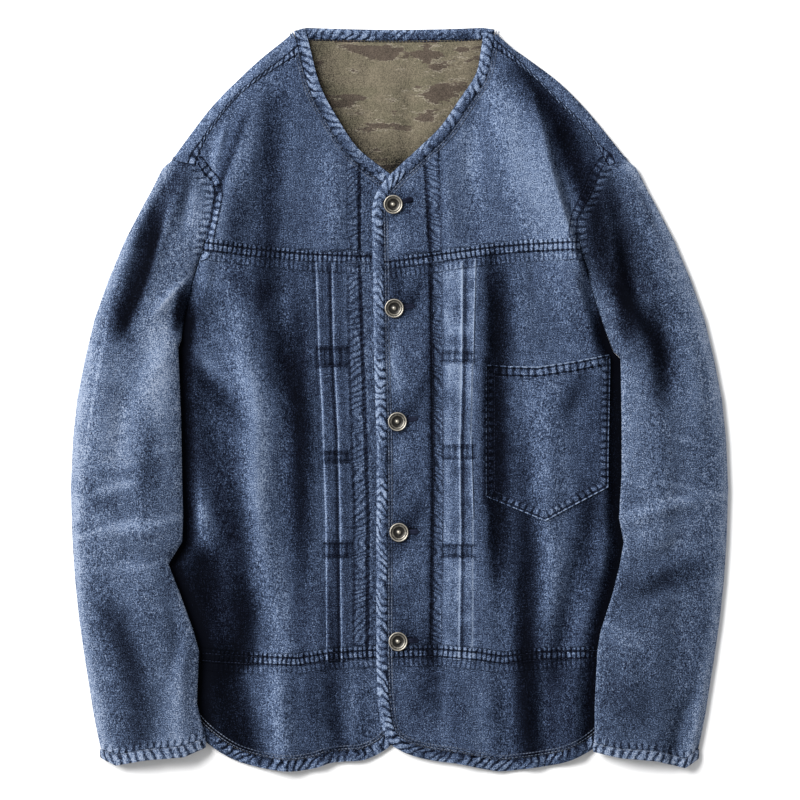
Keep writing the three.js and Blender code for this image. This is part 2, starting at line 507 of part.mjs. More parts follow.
// Rows from top to bottom that pass through the two levels of the pocket.
function rowsBetween(top, pocketTop, pocketBottom, bottom) {
  const { above, pocket, below } = BODY_ROWS;
  return [
    ...steps(above).map((t) => lerp(top, pocketTop, t)),
    ...steps(pocket).slice(1).map((t) => lerp(pocketTop, pocketBottom, t)),
    ...steps(below).slice(1).map((t) => lerp(pocketBottom, bottom, t)),
  ];
}
const stretch = (curve, from, to) => (t) => curve(lerp(from, to, t));

function frontYoke(side, material) {
  const { within, shoulder, yoke } = frontPlan(side);
  const seams = SEAMS[side];
  const inner = stretch(within, shoulder, yoke);
  const top = spline([inner(0), ...seams.shoulder.slice(1)]);
  const [low, end] = [inner(1), seams.armhole[seams.armhole.length - 1]];
  const grid = patch({
    top: (u) => [top(u)[0], top(u)[1] - SEAM_GAP / 2],
    bottom: (u) => {
      const x = lerp(low[0], end[0], u);
      return [x, yAtX(seams.yoke, x) + SEAM_GAP / 2];
    },
    inner,
    outer: (v) => {
      const y = lerp(top(1)[1], end[1], v);
      return [xAtY(seams.armhole, y), y];
    },
  }, steps(YOKE_COLUMNS), steps(YOKE_ROWS));
  return frontWall(`front_yoke_${side}`, side, grid, material);
}

const LEAST_SIDE = 6; // least width from the line of the pocket's outer edge to the side seam
// X of each column of the lower front in the row that starts at (x0, y0): along the strip, the tucks and
// the pocket to the side seam.
function bodyColumns(side, x0, y0, sideX) {
  const outward = SIGN[side];
  const inner = xAtY(TUCKS[side].inner, y0);
  const outer = xAtY(TUCKS[side].outer, y0);
  const [low, high] = [POCKET.bottom[2], POCKET.top[4]];
  const pocketStart = outward * POCKET.top[0][0];
  const edge = lerp(low[0], high[0], smooth((y0 - low[1]) / (high[1] - low[1])));
  const pocketEnd = outward * Math.min(edge, Math.abs(sideX) - LEAST_SIDE);
  return [
    x0, xAtY(STRIP[side].stitch, y0), xAtY(STRIP[side].outer, y0),
    inner, inner + outward * TUCK_DROP, outer, outer + outward * TUCK_DROP,
    ...steps(POCKET_COLUMNS).map((t) => lerp(pocketStart, pocketEnd, t)),
    ...steps(SIDE_COLUMNS).slice(1).map((t) => lerp(pocketEnd, sideX, t)),
  ];
}
const POCKET_FIRST = 7; // column of the grid at which the pocket starts

function bodyGrid(side) {
  const { within, body } = frontPlan(side);
  const seams = SEAMS[side];
  const outward = SIGN[side];
  const last = body.length - 1;
  const waistEnd = seams.waist[seams.waist.length - 1];
  const sideRows = rowsBetween(seams.side[0][1], POCKET.top[4][1], POCKET.bottom[2][1], waistEnd[1]);
  return body.map((t, i) => {
    const [x0, y0] = within(t);
    const sideX = xAtY(seams.side, sideRows[i]);
    return bodyColumns(side, x0, y0, sideX).map((x, j) => {
      const top = yAtX(seams.yoke, x) - SEAM_GAP / 2;
      const bottom = yAtX(seams.waist, x) + SEAM_GAP / 2;
      const on = clamp(outward * x, POCKET.top[0][0], POCKET.top[4][0]);
      const y = rowsBetween(top, yAtX(POCKET.top, on), yAtX(POCKET.bottom, on), bottom)[i];
      return j === 0 && i > 0 && i < last ? [x, y0] : [x, y];
    });
  });
}

function frontBody(side, material) {
  return frontWall(`front_body_${side}`, side, bodyGrid(side), material);
}

// The pocket is made from the points of the front below it, moved out.
function pocket(material) {
  const { above, pocket: rows } = BODY_ROWS;
  const grid = bodyGrid("right").slice(above, above + rows + 1)
    .map((row) => row.slice(POCKET_FIRST, POCKET_FIRST + POCKET_COLUMNS + 1));
  const base = (x, y) => frontHeight("right", x, y) + LAYER_GAP;
  return wall("pocket", lift(grid, (x, y) => base(x, y) + POCKET_CLOTH), lift(grid, base), material);
}

function frontHem(side, material) {
  const { within, waist, corner } = frontPlan(side);
  const seam = SEAMS[side].waist;
  const rows = bodyGrid(side);
  const columns = rows[rows.length - 1].map(([x]) => x);
  const [first, last] = [columns[0], columns[columns.length - 1]];
  const inner = stretch(within, waist, corner);
  const bottom = stretch(within, corner, 1);
  const topAt = (x) => [x, yAtX(seam, x) - SEAM_GAP / 2];
  const grid = patch({
    top: (u) => topAt(lerp(first, last, u)),
    bottom,
    inner: (v) => (v === 0 ? topAt(first) : inner(v)),
    outer: (v) => [lerp(last, bottom(1)[0], v), lerp(topAt(last)[1], bottom(1)[1], v)],
  }, columns.map((x) => (x - first) / (last - first)), steps(HEM_ROWS));
  return frontWall(`front_hem_${side}`, side, grid, material);
}

// A bound edge: a flat roll of cloth along the outside of the panels that it holds.
const ROLL = [{ at: 1, rise: 0.55 }, { at: 0.62, rise: 1 }, { at: 0.16, rise: 0.8 }, { at: 0, rise: 0.12 }];
function boundEdge(name, edge, inward, height, stations, material, sink = BOUND_RISE) {
  const lines = ROLL.map(({ at }) => beside(edge, inward * at * BOUND_WIDTH));
  const level = stations.map((t) => height(...lines[0](t)) - CLOTH / 2);
  const face = (move) => stations.map((t, i) => (
    lines.map((line, k) => [...line(t), level[i] + move(ROLL[k].rise, level[i])])
  ));
  const [top, low] = [(rise) => BOUND_RISE * rise, (rise, z) => Math.max(-sink * rise, -z)];
  return wall(name, face(top), face(low), material);
}

function frontBinding(side, material) {
  const { edge, inward, shoulder, yoke, waist, corner, body } = frontPlan(side);
  const rows = bodyGrid(side);
  const columns = rows[rows.length - 1].map(([x]) => x);
  const [first, last] = [columns[0], columns[columns.length - 1]];
  const stations = [
    0, shoulder / 2,
    ...steps(YOKE_ROWS).map((t) => lerp(shoulder, yoke, t)),
    ...body.slice(1),
    ...steps(HEM_ROWS).slice(1).map((t) => lerp(waist, corner, t)),
    ...columns.slice(1).map((x) => lerp(corner, 1, (x - first) / (last - first))),
  ];
  const height = (x, y) => frontHeight(side, x, y);
  return boundEdge(`binding_front_${side}`, edge, inward, height, stations, material);
}

// Where a sleeve comes down from the body to the surface, outwards from the side seam and up to the underarm.
const COME_DOWN = { start: 7, width: 26, above: 8, length: 30 };
// Height by which a sleeve lies over the body's side seam at x.
function sleeveLift(side, x, y) {
  const seam = Math.abs(xAtY(SEAMS[side].side, y));
  const below = smooth((UNDERARM_Y + COME_DOWN.above - y) / COME_DOWN.length);
  return SLEEVE_LIFT * (1 - risen(Math.abs(x) - seam, COME_DOWN)) * below;
}
const SLEEVE_COLUMNS = { top: eased(12), low: eased(8).slice(1) };
const SLEEVE_ROWS = [
  220.5, 213, 204, 193, 180, 165, 149, 132, 114, 96, 78, 60, 42, 20, -4, -30, -58, -86, -112, -136, -156,
  -178, -202, -226, -250, -274, -296, CUFF_TOP,
];
const SEAM_SLIT = 0.3;
// The top of a sleeve's section is a flattened bow, (1 - distance ** flat) ** round of its fullness. Towards
// the armhole it opens to the body, where it keeps its height but for a small dip.
const BOW = { flat: 2.6, round: 0.6, dip: 0.12 };
const CURL = 12; // the higher, the more sharply the underside curls up into its folds
const OPEN = { start: UNDERARM_Y, width: 60 }; // upwards, where the inner edge opens into the armhole
const ON_BACK = { start: 118, width: 60 }; // upwards, where that edge is level with the front's armhole

// A sleeve's section at one Y, as [x, z] from its inner edge over the top, round the outer fold and back
// below.
function sleeveSection(side, y, grow = 0) {
  const sign = SIGN[side];
  const out = lookUp(SLEEVE, "y", y, "out") + grow;
  const inner = sleeveInner(side, y);
  const open = risen(y, OPEN);
  const onBack = risen(y, ON_BACK);
  const lowInner = y > UNDERARM_Y ? Math.max(inner, xAtY(ARMHOLE_BACK, y) + ARMHOLE_GAP) : inner - grow;
  const full = lookUp(SLEEVE, "y", y, "full") + grow;
  const folds = FOLDS[side === "right" ? "sleeveRight" : "sleeveLeft"];
  const seamHeight = open * onBack > 0 ? frontHeight(side, sign * (inner - ARMHOLE_GAP), y) : 0;
  const top = SLEEVE_COLUMNS.top.map((q) => {
    const w = 2 * q - 1;
    const x = sign * lerp(inner - grow, out, q);
    const closed = (1 - Math.abs(w) ** BOW.flat) ** BOW.round;
    const arch = w < 0 ? lerp(closed, 1 - BOW.dip * w * w, open * onBack) : closed;
    const edge = w < 0 ? lerp(SLEEVE_EDGE, LOW_FRONT - SEAM_GAP, open * (1 - onBack) * w * w) : SLEEVE_EDGE;
    const z = edge + full * arch + foldsAt(folds, x, y) * closed + sleeveLift(side, x, y);
    return [x, lerp(z, seamHeight, open * onBack * smooth(1 - q / 0.5))];
  });
  const low = SLEEVE_COLUMNS.low.map((q) => {
    const w = 2 * q - 1;
    const x = sign * lerp(out, lowInner, q);
    const curl = 1 - Math.sqrt(1 - Math.abs(w) ** CURL);
    const rise = w > 0 && y > UNDERARM_Y ? 0 : curl;
    return [x, (SLEEVE_EDGE - SEAM_SLIT * q) * rise + sleeveLift(side, x, y)];
  });
  return [...top, ...low];
}
// The section again, moved inwards by the thickness of the cloth.
function insideOf(points, thickness) {
  const area = points.reduce((sum, [x, z], i) => {
    const [p, r] = points[(i + 1) % points.length];
    return sum + x * r - p * z;
  }, 0);
  const turn = Math.sign(area) * thickness;
  return points.map(([x, z], i) => {
    const [ax, az] = points[Math.max(i - 1, 0)];
    const [bx, bz] = points[Math.min(i + 1, points.length - 1)];
    const length = Math.hypot(bx - ax, bz - az);
    return [x - (turn * (bz - az)) / length, z + (turn * (bx - ax)) / length];
  });
}
// Share of the way across a section from its inner edge to its outer fold.
function shareAcross(section, x) {
  const [start, end] = [section[0][0], section[SLEEVE_COLUMNS.top.length - 1][0]];
  return clamp((x - start) / (end - start), 0, 1);
}
const LEAN = { up: 6, from: 190, over: 30, cuffFrom: -240 };
// The first rows of a sleeve lean up to the tip of the shoulder and the last ones to the slanting cuff.
function leaned(side, y, share) {
  const seam = lookUp(CUFF[side], "at", share, "seam");
  const up = LEAN.up * share * smooth((y - LEAN.from) / LEAN.over);
  return y + up + (seam - CUFF_TOP) * smooth((LEAN.cuffFrom - y) / (LEAN.cuffFrom - CUFF_TOP));
}

function sleeve(side, material) {
  const sections = SLEEVE_ROWS.map((y) => sleeveSection(side, y));
  const placed = (shape) => SLEEVE_ROWS.map((y, k) => shape(sections[k])
    .map(([x, z], i) => [x, leaned(side, y, shareAcross(sections[k], sections[k][i][0])), z]));
  return wall(`sleeve_${side}`, placed((s) => s), placed((s) => insideOf(s, SLEEVE_CLOTH)), material);
}

const CUFF_RINGS = [
  { down: 0.03, out: 0.1 }, { down: 0.35, out: 1 }, { down: 0.72, out: 0.9 }, { down: 1, out: 0.2 },
];
const CUFF_LINER = 0.4; // how much of CUFF_EXTRA a cuff's wall is thicker inside than outside
const CUFF_FLOOR = 0.9; // lowest that its inside lies
function cuff(side, material) {
  const ring = ({ down, out }, inside) => {
    const section = sleeveSection(side, CUFF_TOP, CUFF_EXTRA * out);
    const shape = inside ? insideOf(section, SLEEVE_CLOTH + CUFF_EXTRA * (CUFF_LINER + out)) : section;
    return shape.map(([x, z], i) => {
      const share = shareAcross(section, section[i][0]);
      const seam = lookUp(CUFF[side], "at", share, "seam") - SEAM_GAP;
      const y = lerp(seam, lookUp(CUFF[side], "at", share, "hem"), down);
      return [x, y, Math.max(z, inside ? CUFF_FLOOR : 0)];
    });
  };
  const face = (inside) => CUFF_RINGS.map((row) => ring(row, inside));
  return wall(`cuff_${side}`, face(false), face(true), material);
}

// The back yoke lies on the surface and folds forward over both shoulders to their seams with the fronts.
// Each row of SHOULDER_ARC is a place on the way from the fold to that seam, with its height as a share of
// the seam's height plus an amount, and how the inner face moves from it, in thicknesses of the cloth.
const SHOULDER_ARC = [
  { at: 1, share: 1, plus: 0.2, moveIn: 0, moveUp: -1.2 },
  { at: 0.62, share: 1, plus: 0.9, moveIn: 0, moveUp: -1.15 },
  { at: 0.28, share: 1, plus: 0.2, moveIn: 0.4, moveUp: -1.2 },
  { at: 0.07, share: 0.74, plus: 0, moveIn: 0.9, moveUp: -0.75 },
  { at: 0, share: 0.42, plus: 0, moveIn: 1, moveUp: 0 },
  { at: 0.07, share: 0.1, plus: 0, moveIn: 0.8, moveUp: 0.7 },
  { at: 0.24, share: 0, plus: 0, moveIn: 0, moveUp: 1 },
];
const BACK_COLUMNS = [0.055, 0.28, 0.5, 0.72, 0.945];
function backYoke(material) {
  const folds = { left: spline(SHOULDER_FOLD.left), right: spline(SHOULDER_FOLD.right) };
  const seams = {};
  ["left", "right"].forEach((side) => {
    const { within, shoulder } = frontPlan(side);
    seams[side] = spline([within(shoulder), ...SEAMS[side].shoulder.slice(1)]);
  });
  const arc = (side, t, inside) => {
    const [fx, fy] = folds[side](t);
    const seam = seams[side](t);
    const [sx, sy] = [seam[0], seam[1] + SEAM_GAP / 2];
    const width = Math.hypot(sx - fx, sy - fy);
    const height = frontHeight(side, sx, sy);
    const moved = inside ? CLOTH : 0;
    return SHOULDER_ARC.map(({ at, share, plus, moveIn, moveUp }) => {
      const along = at + (moveIn * moved) / width;
      return [lerp(fx, sx, along), lerp(fy, sy, along), height * share + plus + moveUp * moved];
    });
  };
  const row = (t, inside) => [
    ...arc("left", t, inside),
    ...BACK_COLUMNS.map((u) => [
      lerp(folds.left(t)[0], folds.right(t)[0], u), lerp(BACK_NECK, BACK_YOKE, t), inside ? CLOTH : 0,
    ]),
    ...arc("right", t, inside).reverse(),
  ];
  const rows = steps(SHOULDER_ROWS);
  return wall("back_yoke", rows.map((t) => row(t, false)), rows.map((t) => row(t, true)), material);
}

// The back's edge: its armholes, and below them a little inside the side seams.
const SIDE_INSET = 4;
function backEdge(side, y) {
  const underarm = xAtY(ARMHOLE_BACK, UNDERARM_Y);
  if (y > UNDERARM_Y) return xAtY(ARMHOLE_BACK, y);
  const covered = Math.min(underarm, sleeveInner(side, y) - ARMHOLE_GAP);
  return Math.max(Math.abs(xAtY(SEAMS[side].side, y)) - SIDE_INSET, covered);
}
function slab(name, grid, material) {
  return wall(name, lift(grid, () => BACK_TOP), lift(grid, () => 0), material);
}

const BACK_ROWS = [205, 170, 130, 95, 60, 52, 38, 18, -10, -70, -160];
const BACK_STEPS = 4;
function backBody(material) {
  const rows = [BACK_YOKE - 2 * SEAM_GAP, ...BACK_ROWS, BACK_WAIST + SEAM_GAP];
  const across = (y, u) => lerp(-backEdge("left", y), backEdge("right", y), u);
  const grid = rows.map((y) => steps(BACK_STEPS).map((u) => [across(y, u), y]));
  return slab("back_body", grid, material);
}

function backHem(material) {
  const hem = beside(spline(BACK_HEM), BOUND_WIDTH + SEAM_GAP);
  const [left, right] = [-backEdge("left", BACK_WAIST), backEdge("right", BACK_WAIST)];
  const grid = steps(2).map((v) => steps(BACK_HEM_STEPS).map((u) => {
    const [x, y] = hem(u);
    return [lerp(lerp(left, right, u), x, v), lerp(BACK_WAIST, y, v)];
  }));
  return slab("back_hem", grid, material);
}

function backBinding(material) {
  const stations = steps(BACK_HEM_STEPS);
  return boundEdge("binding_back", spline(BACK_HEM), 1, () => BACK_TOP, stations, material, BACK_TOP / 2);
}

const NECK_STEPS = 12;
const NECK_RISE = 0.5; // of the neck's bound edge over the lining
function neckBinding(material) {
  const level = BACK_TOP + LINING + NECK_RISE;
  return boundEdge("binding_neck", spline(NECK_BAND), -1, () => level, steps(NECK_STEPS), material, level);
}

const LINING_ROWS = [
  { y: BACK_NECK - SEAM_GAP, left: -88, right: 78 }, { y: 300, left: -116, right: 108 },
  { y: 240, left: -128, right: 120 }, { y: 180, left: -126, right: 120 },
];
const LINING_STEPS = 8;
// The printed lining of the back, which shows in the neck opening.
function backLining(material) {
  const across = ({ y, left, right }) => steps(LINING_STEPS).map((u) => [lerp(left, right, u), y]);
  const grid = LINING_ROWS.map(across);
  const low = BACK_TOP + LAYER_GAP;
  return wall("back_lining", lift(grid, () => low + LINING), lift(grid, () => low), material);
}

const REST_STEPS = 8; // places round a button at which the cloth below it is measured
// A round tack button with a raised rim, a dished face and a small stud in the middle.
function button({ x, y }, index, material) {
  const { radius, rim, dish, height, stud, sides } = BUTTON;
  const profile = [
    [0, 0], [radius - 1, 0], [radius, 0.9], [radius, height - 0.9], [radius - 0.5, height - 0.2],
    [radius - rim, height - 0.4], [dish, height - 1.2], [stud + 0.5, height - 1.5], [stud, height - 0.8],
    [0, height - 0.4],
  ];
  const geometry = new THREE.LatheGeometry(profile.map(([r, z]) => new THREE.Vector2(r, z)), sides);
  geometry.rotateX(Math.PI / 2);
  const mesh = named(`button_${index + 1}`, geometry, material);
  const heightAt = (turn) => {
    const angle = 2 * Math.PI * turn;
    return frontHeight("right", x + radius * Math.cos(angle), y + radius * Math.sin(angle));
  };
  mesh.position.set(x, y, Math.max(...steps(REST_STEPS).map(heightAt)) + LAYER_GAP);
  return mesh;
}

function jacket() {
  const denim = new THREE.MeshStandardMaterial({ name: "denim", color: COLOURS.denim, roughness: 0.9 });
  const print = new THREE.MeshStandardMaterial({ name: "lining", color: COLOURS.lining, roughness: 0.95 });
  const metal = new THREE.MeshStandardMaterial({
    name: "metal", color: COLOURS.metal, roughness: 0.35, metalness: 1,
  });
  const group = new THREE.Group();
  ["left", "right"].forEach((side) => {
    group.add(frontYoke(side, denim), frontBody(side, denim), frontHem(side, denim));
    group.add(frontBinding(side, denim), sleeve(side, denim), cuff(side, denim));
  });
  group.add(backYoke(denim), backBody(denim), backHem(denim), backBinding(denim), neckBinding(denim));
  group.add(backLining(print), pocket(denim));
  BUTTONS.forEach((place, index) => group.add(button(place, index, metal)));
  return group;
}

export default jacket();
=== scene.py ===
"""Collarless denim jacket, buttoned and laid flat on its back: its cloth, sewing, buttons and printed lining.

Shapes are worked out in millimetres: X to the right across the jacket, Y from hem to neck, Z up from the
surface it lies on. Meshes are put out in metres. "Left" and "right" are the sides in a view from above.
"""

import logging
import math
from collections.abc import Callable
from dataclasses import dataclass, field, replace
from enum import Enum

import bpy
import numpy as np
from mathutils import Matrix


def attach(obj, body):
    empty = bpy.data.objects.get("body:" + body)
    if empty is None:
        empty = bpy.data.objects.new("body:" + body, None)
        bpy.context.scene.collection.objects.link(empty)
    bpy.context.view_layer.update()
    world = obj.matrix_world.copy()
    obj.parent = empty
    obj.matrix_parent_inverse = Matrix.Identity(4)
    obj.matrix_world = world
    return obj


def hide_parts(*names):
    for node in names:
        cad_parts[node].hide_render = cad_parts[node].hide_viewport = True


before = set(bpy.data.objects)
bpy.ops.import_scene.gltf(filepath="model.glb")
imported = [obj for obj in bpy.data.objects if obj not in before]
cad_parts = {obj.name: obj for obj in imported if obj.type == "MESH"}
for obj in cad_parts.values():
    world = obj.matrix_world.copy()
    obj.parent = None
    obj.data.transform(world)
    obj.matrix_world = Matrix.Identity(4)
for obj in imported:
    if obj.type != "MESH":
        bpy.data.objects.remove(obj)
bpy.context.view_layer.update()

Array = np.ndarray
Points = tuple[tuple[float, float], ...]
Colour = tuple[float, float, float]
LOG = logging.getLogger("jacket")

MM = 0.001  # in metres; all that follows is in millimetres
CLOTH = 1.3
LINING = 0.8
SLEEVE_CLOTH = 1.5
POCKET_CLOTH = 1.4
STEEPEST = 2.2  # most that cloth on a slope counts upright, in thicknesses
SEAM_GAP = 0.3
ARMHOLE_GAP = 0.2
LAYER_GAP = 0.35
BOUND_WIDTH = 10.5
BOUND_RISE = 1.5
BACK_TOP = CLOTH
SIDE_SEAM = 3.0  # heights of a front's outer face, here at the side seam
LOW_FRONT = 4.6
UNDER_PLACKET = 4.6
OVER_PLACKET = 8.0
FULLNESS = 5.2  # how much higher a front is in its middle
SLEEVE_LIFT = 6.2  # how high a sleeve lies on the front's side
SLEEVE_EDGE = 5.0
SOFTNESS = 1.2  # rounding where two heights meet
SLOPE_STEP = 1.5
UNDERARM_Y = 60.0
CUFF_TOP = -316.0
CUFF_EXTRA = 0.8
TUCK_RISE = 1.7
TUCK_DROP = 0.7
BACK_WAIST = -236.0
BACK_YOKE = 225.5
BACK_NECK = 340.0
SIDE_INSET = 4.0
SEAM_SLIT = 0.3
PUCKER = 6.6  # pitch of a seam's puckers
STROKE_SLANT = 7.5  # how far the puckers of a bound edge lean over its width
EDGE_ROW = 12.0  # row of sewing beside a bound edge
ROW_PLACES = (1.8, 8.8)  # rows of sewing beside a seam


class Side(Enum):
    """A side of the jacket in a view from above."""

    LEFT = -1
    RIGHT = 1

    @property
    def label(self) -> str:
        """The side's word in a piece's name."""
        return self.name.lower()


class Finish(Enum):
    """The record's material slots."""

    DENIM = "denim"
    LINING = "lining"
    METAL = "metal"


def lerp(a: Array | float, b: Array | float, t: Array | float) -> Array | float:
    """The value at share t of the way from a to b."""
    return a + (b - a) * t


def smooth(v: Array | float) -> Array:
    """0 below 0 and 1 above 1, with the soft step t squared times (3 - 2t) between."""
    t = np.clip(v, 0.0, 1.0)
    return t * t * (3.0 - 2.0 * t)


def bell(v: Array | float) -> Array:
    """1 at 0, falling as exp(-v squared)."""
    return np.exp(-np.square(v))


def other_column(rows: Points | Array, by: int, at: Array | float) -> Array:
    """The other column of a table of pairs, by straight lines from row to row.

    Args:
        rows: pairs in a rising or falling order of column `by`.
        by: the column that `at` is a value of.
        at: where to read.

    Returns:
        The other column's values.
    """
    table = np.asarray(rows, float)
    table = table if table[-1, by] > table[0, by] else table[::-1]
    return np.interp(at, table[:, by], table[:, 1 - by])


def y_at(rows: Points | Array, x: Array | float) -> Array:
    """Y of a table's line at x."""
    return other_column(rows, 0, x)


def x_at(rows: Points | Array, y: Array | float) -> Array:
    """X of a table's line at y."""
    return other_column(rows, 1, y)


@dataclass(frozen=True)
class Spline:
    """A smooth curve through points, by equal steps of t from 0 to 1: cubic spans whose slope at a point is half
    the way from the point before it to the one after it."""

    points: Array

    def __call__(self, t: Array | float) -> Array:
        """Points of the curve at t."""
        last = len(self.points) - 1
        place = np.clip(np.asarray(t, float), 0.0, 1.0) * last
        i = np.minimum(place.astype(int), last - 1)
        w = (place - i)[..., None]
        a, b, c, d = (self.points[np.clip(i + k, 0, last)] for k in (-1, 0, 1, 2))
        v0, v1 = (c - a) / 2, (d - b) / 2
        return ((2 * b - 2 * c + v0 + v1) * w + (-3 * b + 3 * c - 2 * v0 - v1)) * w * w + v0 * w + b


def beside(curve: Spline, t: Array, distance: Array | float) -> Array:
    """The curve's points moved sideways, to the left of its direction where distance is above 0."""
    run = curve(t + 1e-3) - curve(t - 1e-3)
    run /= np.linalg.norm(run, axis=-1, keepdims=True)
    across = np.stack([-run[..., 1], run[..., 0]], -1)
    return curve(t) + np.asarray(distance, float)[..., None] * across


def nearest(line: Array, x: Array, y: Array) -> tuple[Array, Array, Array, Array]:
    """Nearest point of a polyline.

    Args:
        line: its points.
        x: X of the places asked for.
        y: Y of them.

    Returns:
        Distance, signed distance (above 0 to the left of the line), segment plus share along it, and foot X.
    """
    a, d = line[:-1], np.diff(line, axis=0)
    px, py = x[..., None] - a[:, 0], y[..., None] - a[:, 1]
    s = np.clip((px * d[:, 0] + py * d[:, 1]) / np.maximum((d * d).sum(1), 1e-9), 0.0, 1.0)
    gap = np.hypot(px - s * d[:, 0], py - s * d[:, 1])
    k = gap.argmin(-1)
    pick = lambda values: np.take_along_axis(values, k[..., None], -1)[..., 0]
    near, share = pick(gap), pick(s)
    turn = d[k, 0] * pick(py) - d[k, 1] * pick(px)
    return near, near * np.where(turn < 0, -1.0, 1.0), k + share, a[k, 0] + share * d[k, 0]


def runs(line: Array) -> Array:
    """Length run along a polyline at each of its points."""
    return np.concatenate([[0.0], np.cumsum(np.linalg.norm(np.diff(line, axis=0), axis=1))])


def run_at(line: Array, place: Array) -> Array:
    """Length run along a polyline at places in segments plus shares."""
    return np.interp(place, np.arange(len(line)), runs(line))


@dataclass(frozen=True)
class Noise:
    """Smooth value noise: random numbers on a square lattice, blended between its corners."""

    seed: int

    def __call__(self, x: Array, y: Array) -> Array:
        """Values from -1 to 1 at places in lattice steps."""
        lattice = np.random.default_rng(self.seed).uniform(-1.0, 1.0, (61, 61))
        i, j = np.floor(x).astype(int), np.floor(y).astype(int)
        u, v = smooth(x - i), smooth(y - j)
        at = lambda p, q: lattice[(i + p) % 61, (j + q) % 61]
        return lerp(lerp(at(0, 0), at(1, 0), u), lerp(at(0, 1), at(1, 1), u), v)


CRUMPLE = (Noise(3), Noise(11), Noise(29))


def crumple(x: Array, y: Array) -> Array:
    """Small unevenness of worn cloth: noise of 34, 15 and 7 mm, the finer the lower."""
    return CRUMPLE[0](x / 34, y / 41) + 0.5 * CRUMPLE[1](x / 15, y / 17) + 0.2 * CRUMPLE[2](x / 7, y / 7)


@dataclass(frozen=True)
class Fold:
    """A soft ridge along a path, a trough where rise is below 0, or a paler or darker place in the same shape.

    Across the nearest point of its path it is a bell, inw wide towards the jacket's middle and out away from it;
    start and end are shares of the rise at its ends.
    """

    path: Points
    rise: float
    inw: float
    out: float
    start: float
    end: float

    STEPS = 12
    FADE = 0.35

    def height(self, x: Array, y: Array) -> Array:
        """Height over the cloth at each place."""
        line = Spline(np.array(self.path, float))(np.linspace(0, 1, self.STEPS + 1))
        reach = 3.2 * max(self.inw, self.out)
        low, high = line.min(0) - reach, line.max(0) + reach
        total = np.zeros(np.broadcast(x, y).shape)
        near = (x > low[0]) & (x < high[0]) & (y > low[1]) & (y < high[1])
        if not near.any():
            return total
        px, py = np.broadcast_to(x, near.shape)[near], np.broadcast_to(y, near.shape)[near]
        gap, _, place, foot = nearest(line, px, py)
        outwards = (np.abs(px) - np.abs(foot)) / np.maximum(gap, 1e-6)
        width = lerp(self.inw, self.out, smooth(0.5 + 0.8 * outwards))
        t = place / self.STEPS
        share = lerp(self.start, 1, smooth(t / self.FADE)) * lerp(self.end, 1, smooth((1 - t) / self.FADE))
        total[near] = self.rise * share * bell(gap / width)
        return total


def folds(*rows: tuple[float, ...]) -> tuple[Fold, ...]:
    """Folds from rows of rise, inw, out, start, end, and then X and Y of each point of the path."""
    return tuple(Fold(tuple(zip(row[5::2], row[6::2])), *row[:5]) for row in rows)


def folds_at(several: tuple[Fold, ...], x: Array, y: Array) -> Array:
    """Heights of all the folds together."""
    return sum((fold.height(x, y) for fold in several), np.zeros(np.broadcast(x, y).shape))


@dataclass(frozen=True)
class Edge:
    """Outer edge of a front: down the neckline, down the opening, and round the hem to the side vent."""

    neckline: Points
    opening: Points
    hem: Points


@dataclass(frozen=True)
class Seams:
    """Seams of a front, from the opening outwards or from the shoulder down."""

    yoke: Points
    waist: Points
    shoulder: Points
    armhole: Points
    side: Points


@dataclass(frozen=True)
class Strip:
    """A front strip's line of stitching, the seam beside it, and the folded edges of the two tucks next to it."""

    stitch: Points
    outer: Points
    inner_tuck: Points
    outer_tuck: Points


EDGE = {
    Side.LEFT: Edge(
        neckline=((-90, 352.5), (-86, 338), (-75, 297), (-56, 262), (-41, 240), (-26, 227), (-9, 214)),
        opening=(
            (4, 202), (10, 186), (11, 150), (11, 60), (12, -60), (12, -180), (12, -260), (9, -292), (2, -314),
        ),
        hem=(
            (-11, -330.5), (-32, -341.5), (-52, -343.5), (-66, -345), (-80, -349.5), (-99, -352.5), (-118, -351.5),
            (-141, -347), (-159, -341), (-177, -330), (-196, -314), (-212, -292), (-226, -263),
        ),
    ),
    Side.RIGHT: Edge(
        neckline=((80, 352.5), (77, 330), (72, 308), (57, 285), (39, 259), (18, 238.5), (0, 222)),
        opening=(
            (-13, 209), (-22, 196), (-26, 181), (-26, 160), (-25, 110), (-24.5, 50), (-22, -50), (-22, -182),
            (-22, -244), (-20.5, -285), (-16.5, -311),
        ),
        hem=(
            (-10, -325), (0, -332.5), (13, -338), (32, -342.5), (58, -346), (80, -350.5), (97, -352.8), (123, -350),
            (154, -345), (174, -337), (190, -327), (206, -311), (218, -290), (226, -266),
        ),
    ),
}
SEAMS = {
    Side.LEFT: Seams(
        yoke=((22, 126), (-39, 127), (-90, 129), (-141, 134), (-187, 140)),
        waist=((24, -246), (-30, -247), (-64, -249), (-96, -254), (-150, -252), (-192, -249), (-232, -247)),
        shoulder=((-97, 327), (-133, 303), (-157, 283), (-176, 259), (-187, 240), (-192, 222)),
        armhole=((-192, 222), (-186, 213), (-179, 206), (-176, 194), (-180, 172), (-187, 140)),
        side=(
            (-187, 140), (-196, 111), (-203.5, 82), (-207, 56), (-214, 38), (-227, 18), (-234, -10), (-236, -70),
            (-234, -160), (-232, -247),
        ),
    ),
    Side.RIGHT: Seams(
        yoke=((-30, 119), (-8, 122), (29, 127), (76, 134), (117, 138), (172, 140.5)),
        waist=((-36, -247), (38, -245.5), (72, -248.5), (98, -252.5), (136, -248), (186, -247), (234, -247)),
        shoulder=((88, 333), (123, 309), (155, 277), (177, 254), (190, 236), (196, 222)),
        armhole=((196, 222), (189, 211), (184, 198), (178, 186), (171, 172), (169, 158), (172, 140.5)),
        side=(
            (172, 140.5), (185, 96), (195, 66), (203, 45), (215, 34), (228, 16), (236, -12), (238, -70),
            (236, -160), (234, -247),
        ),
    ),
}
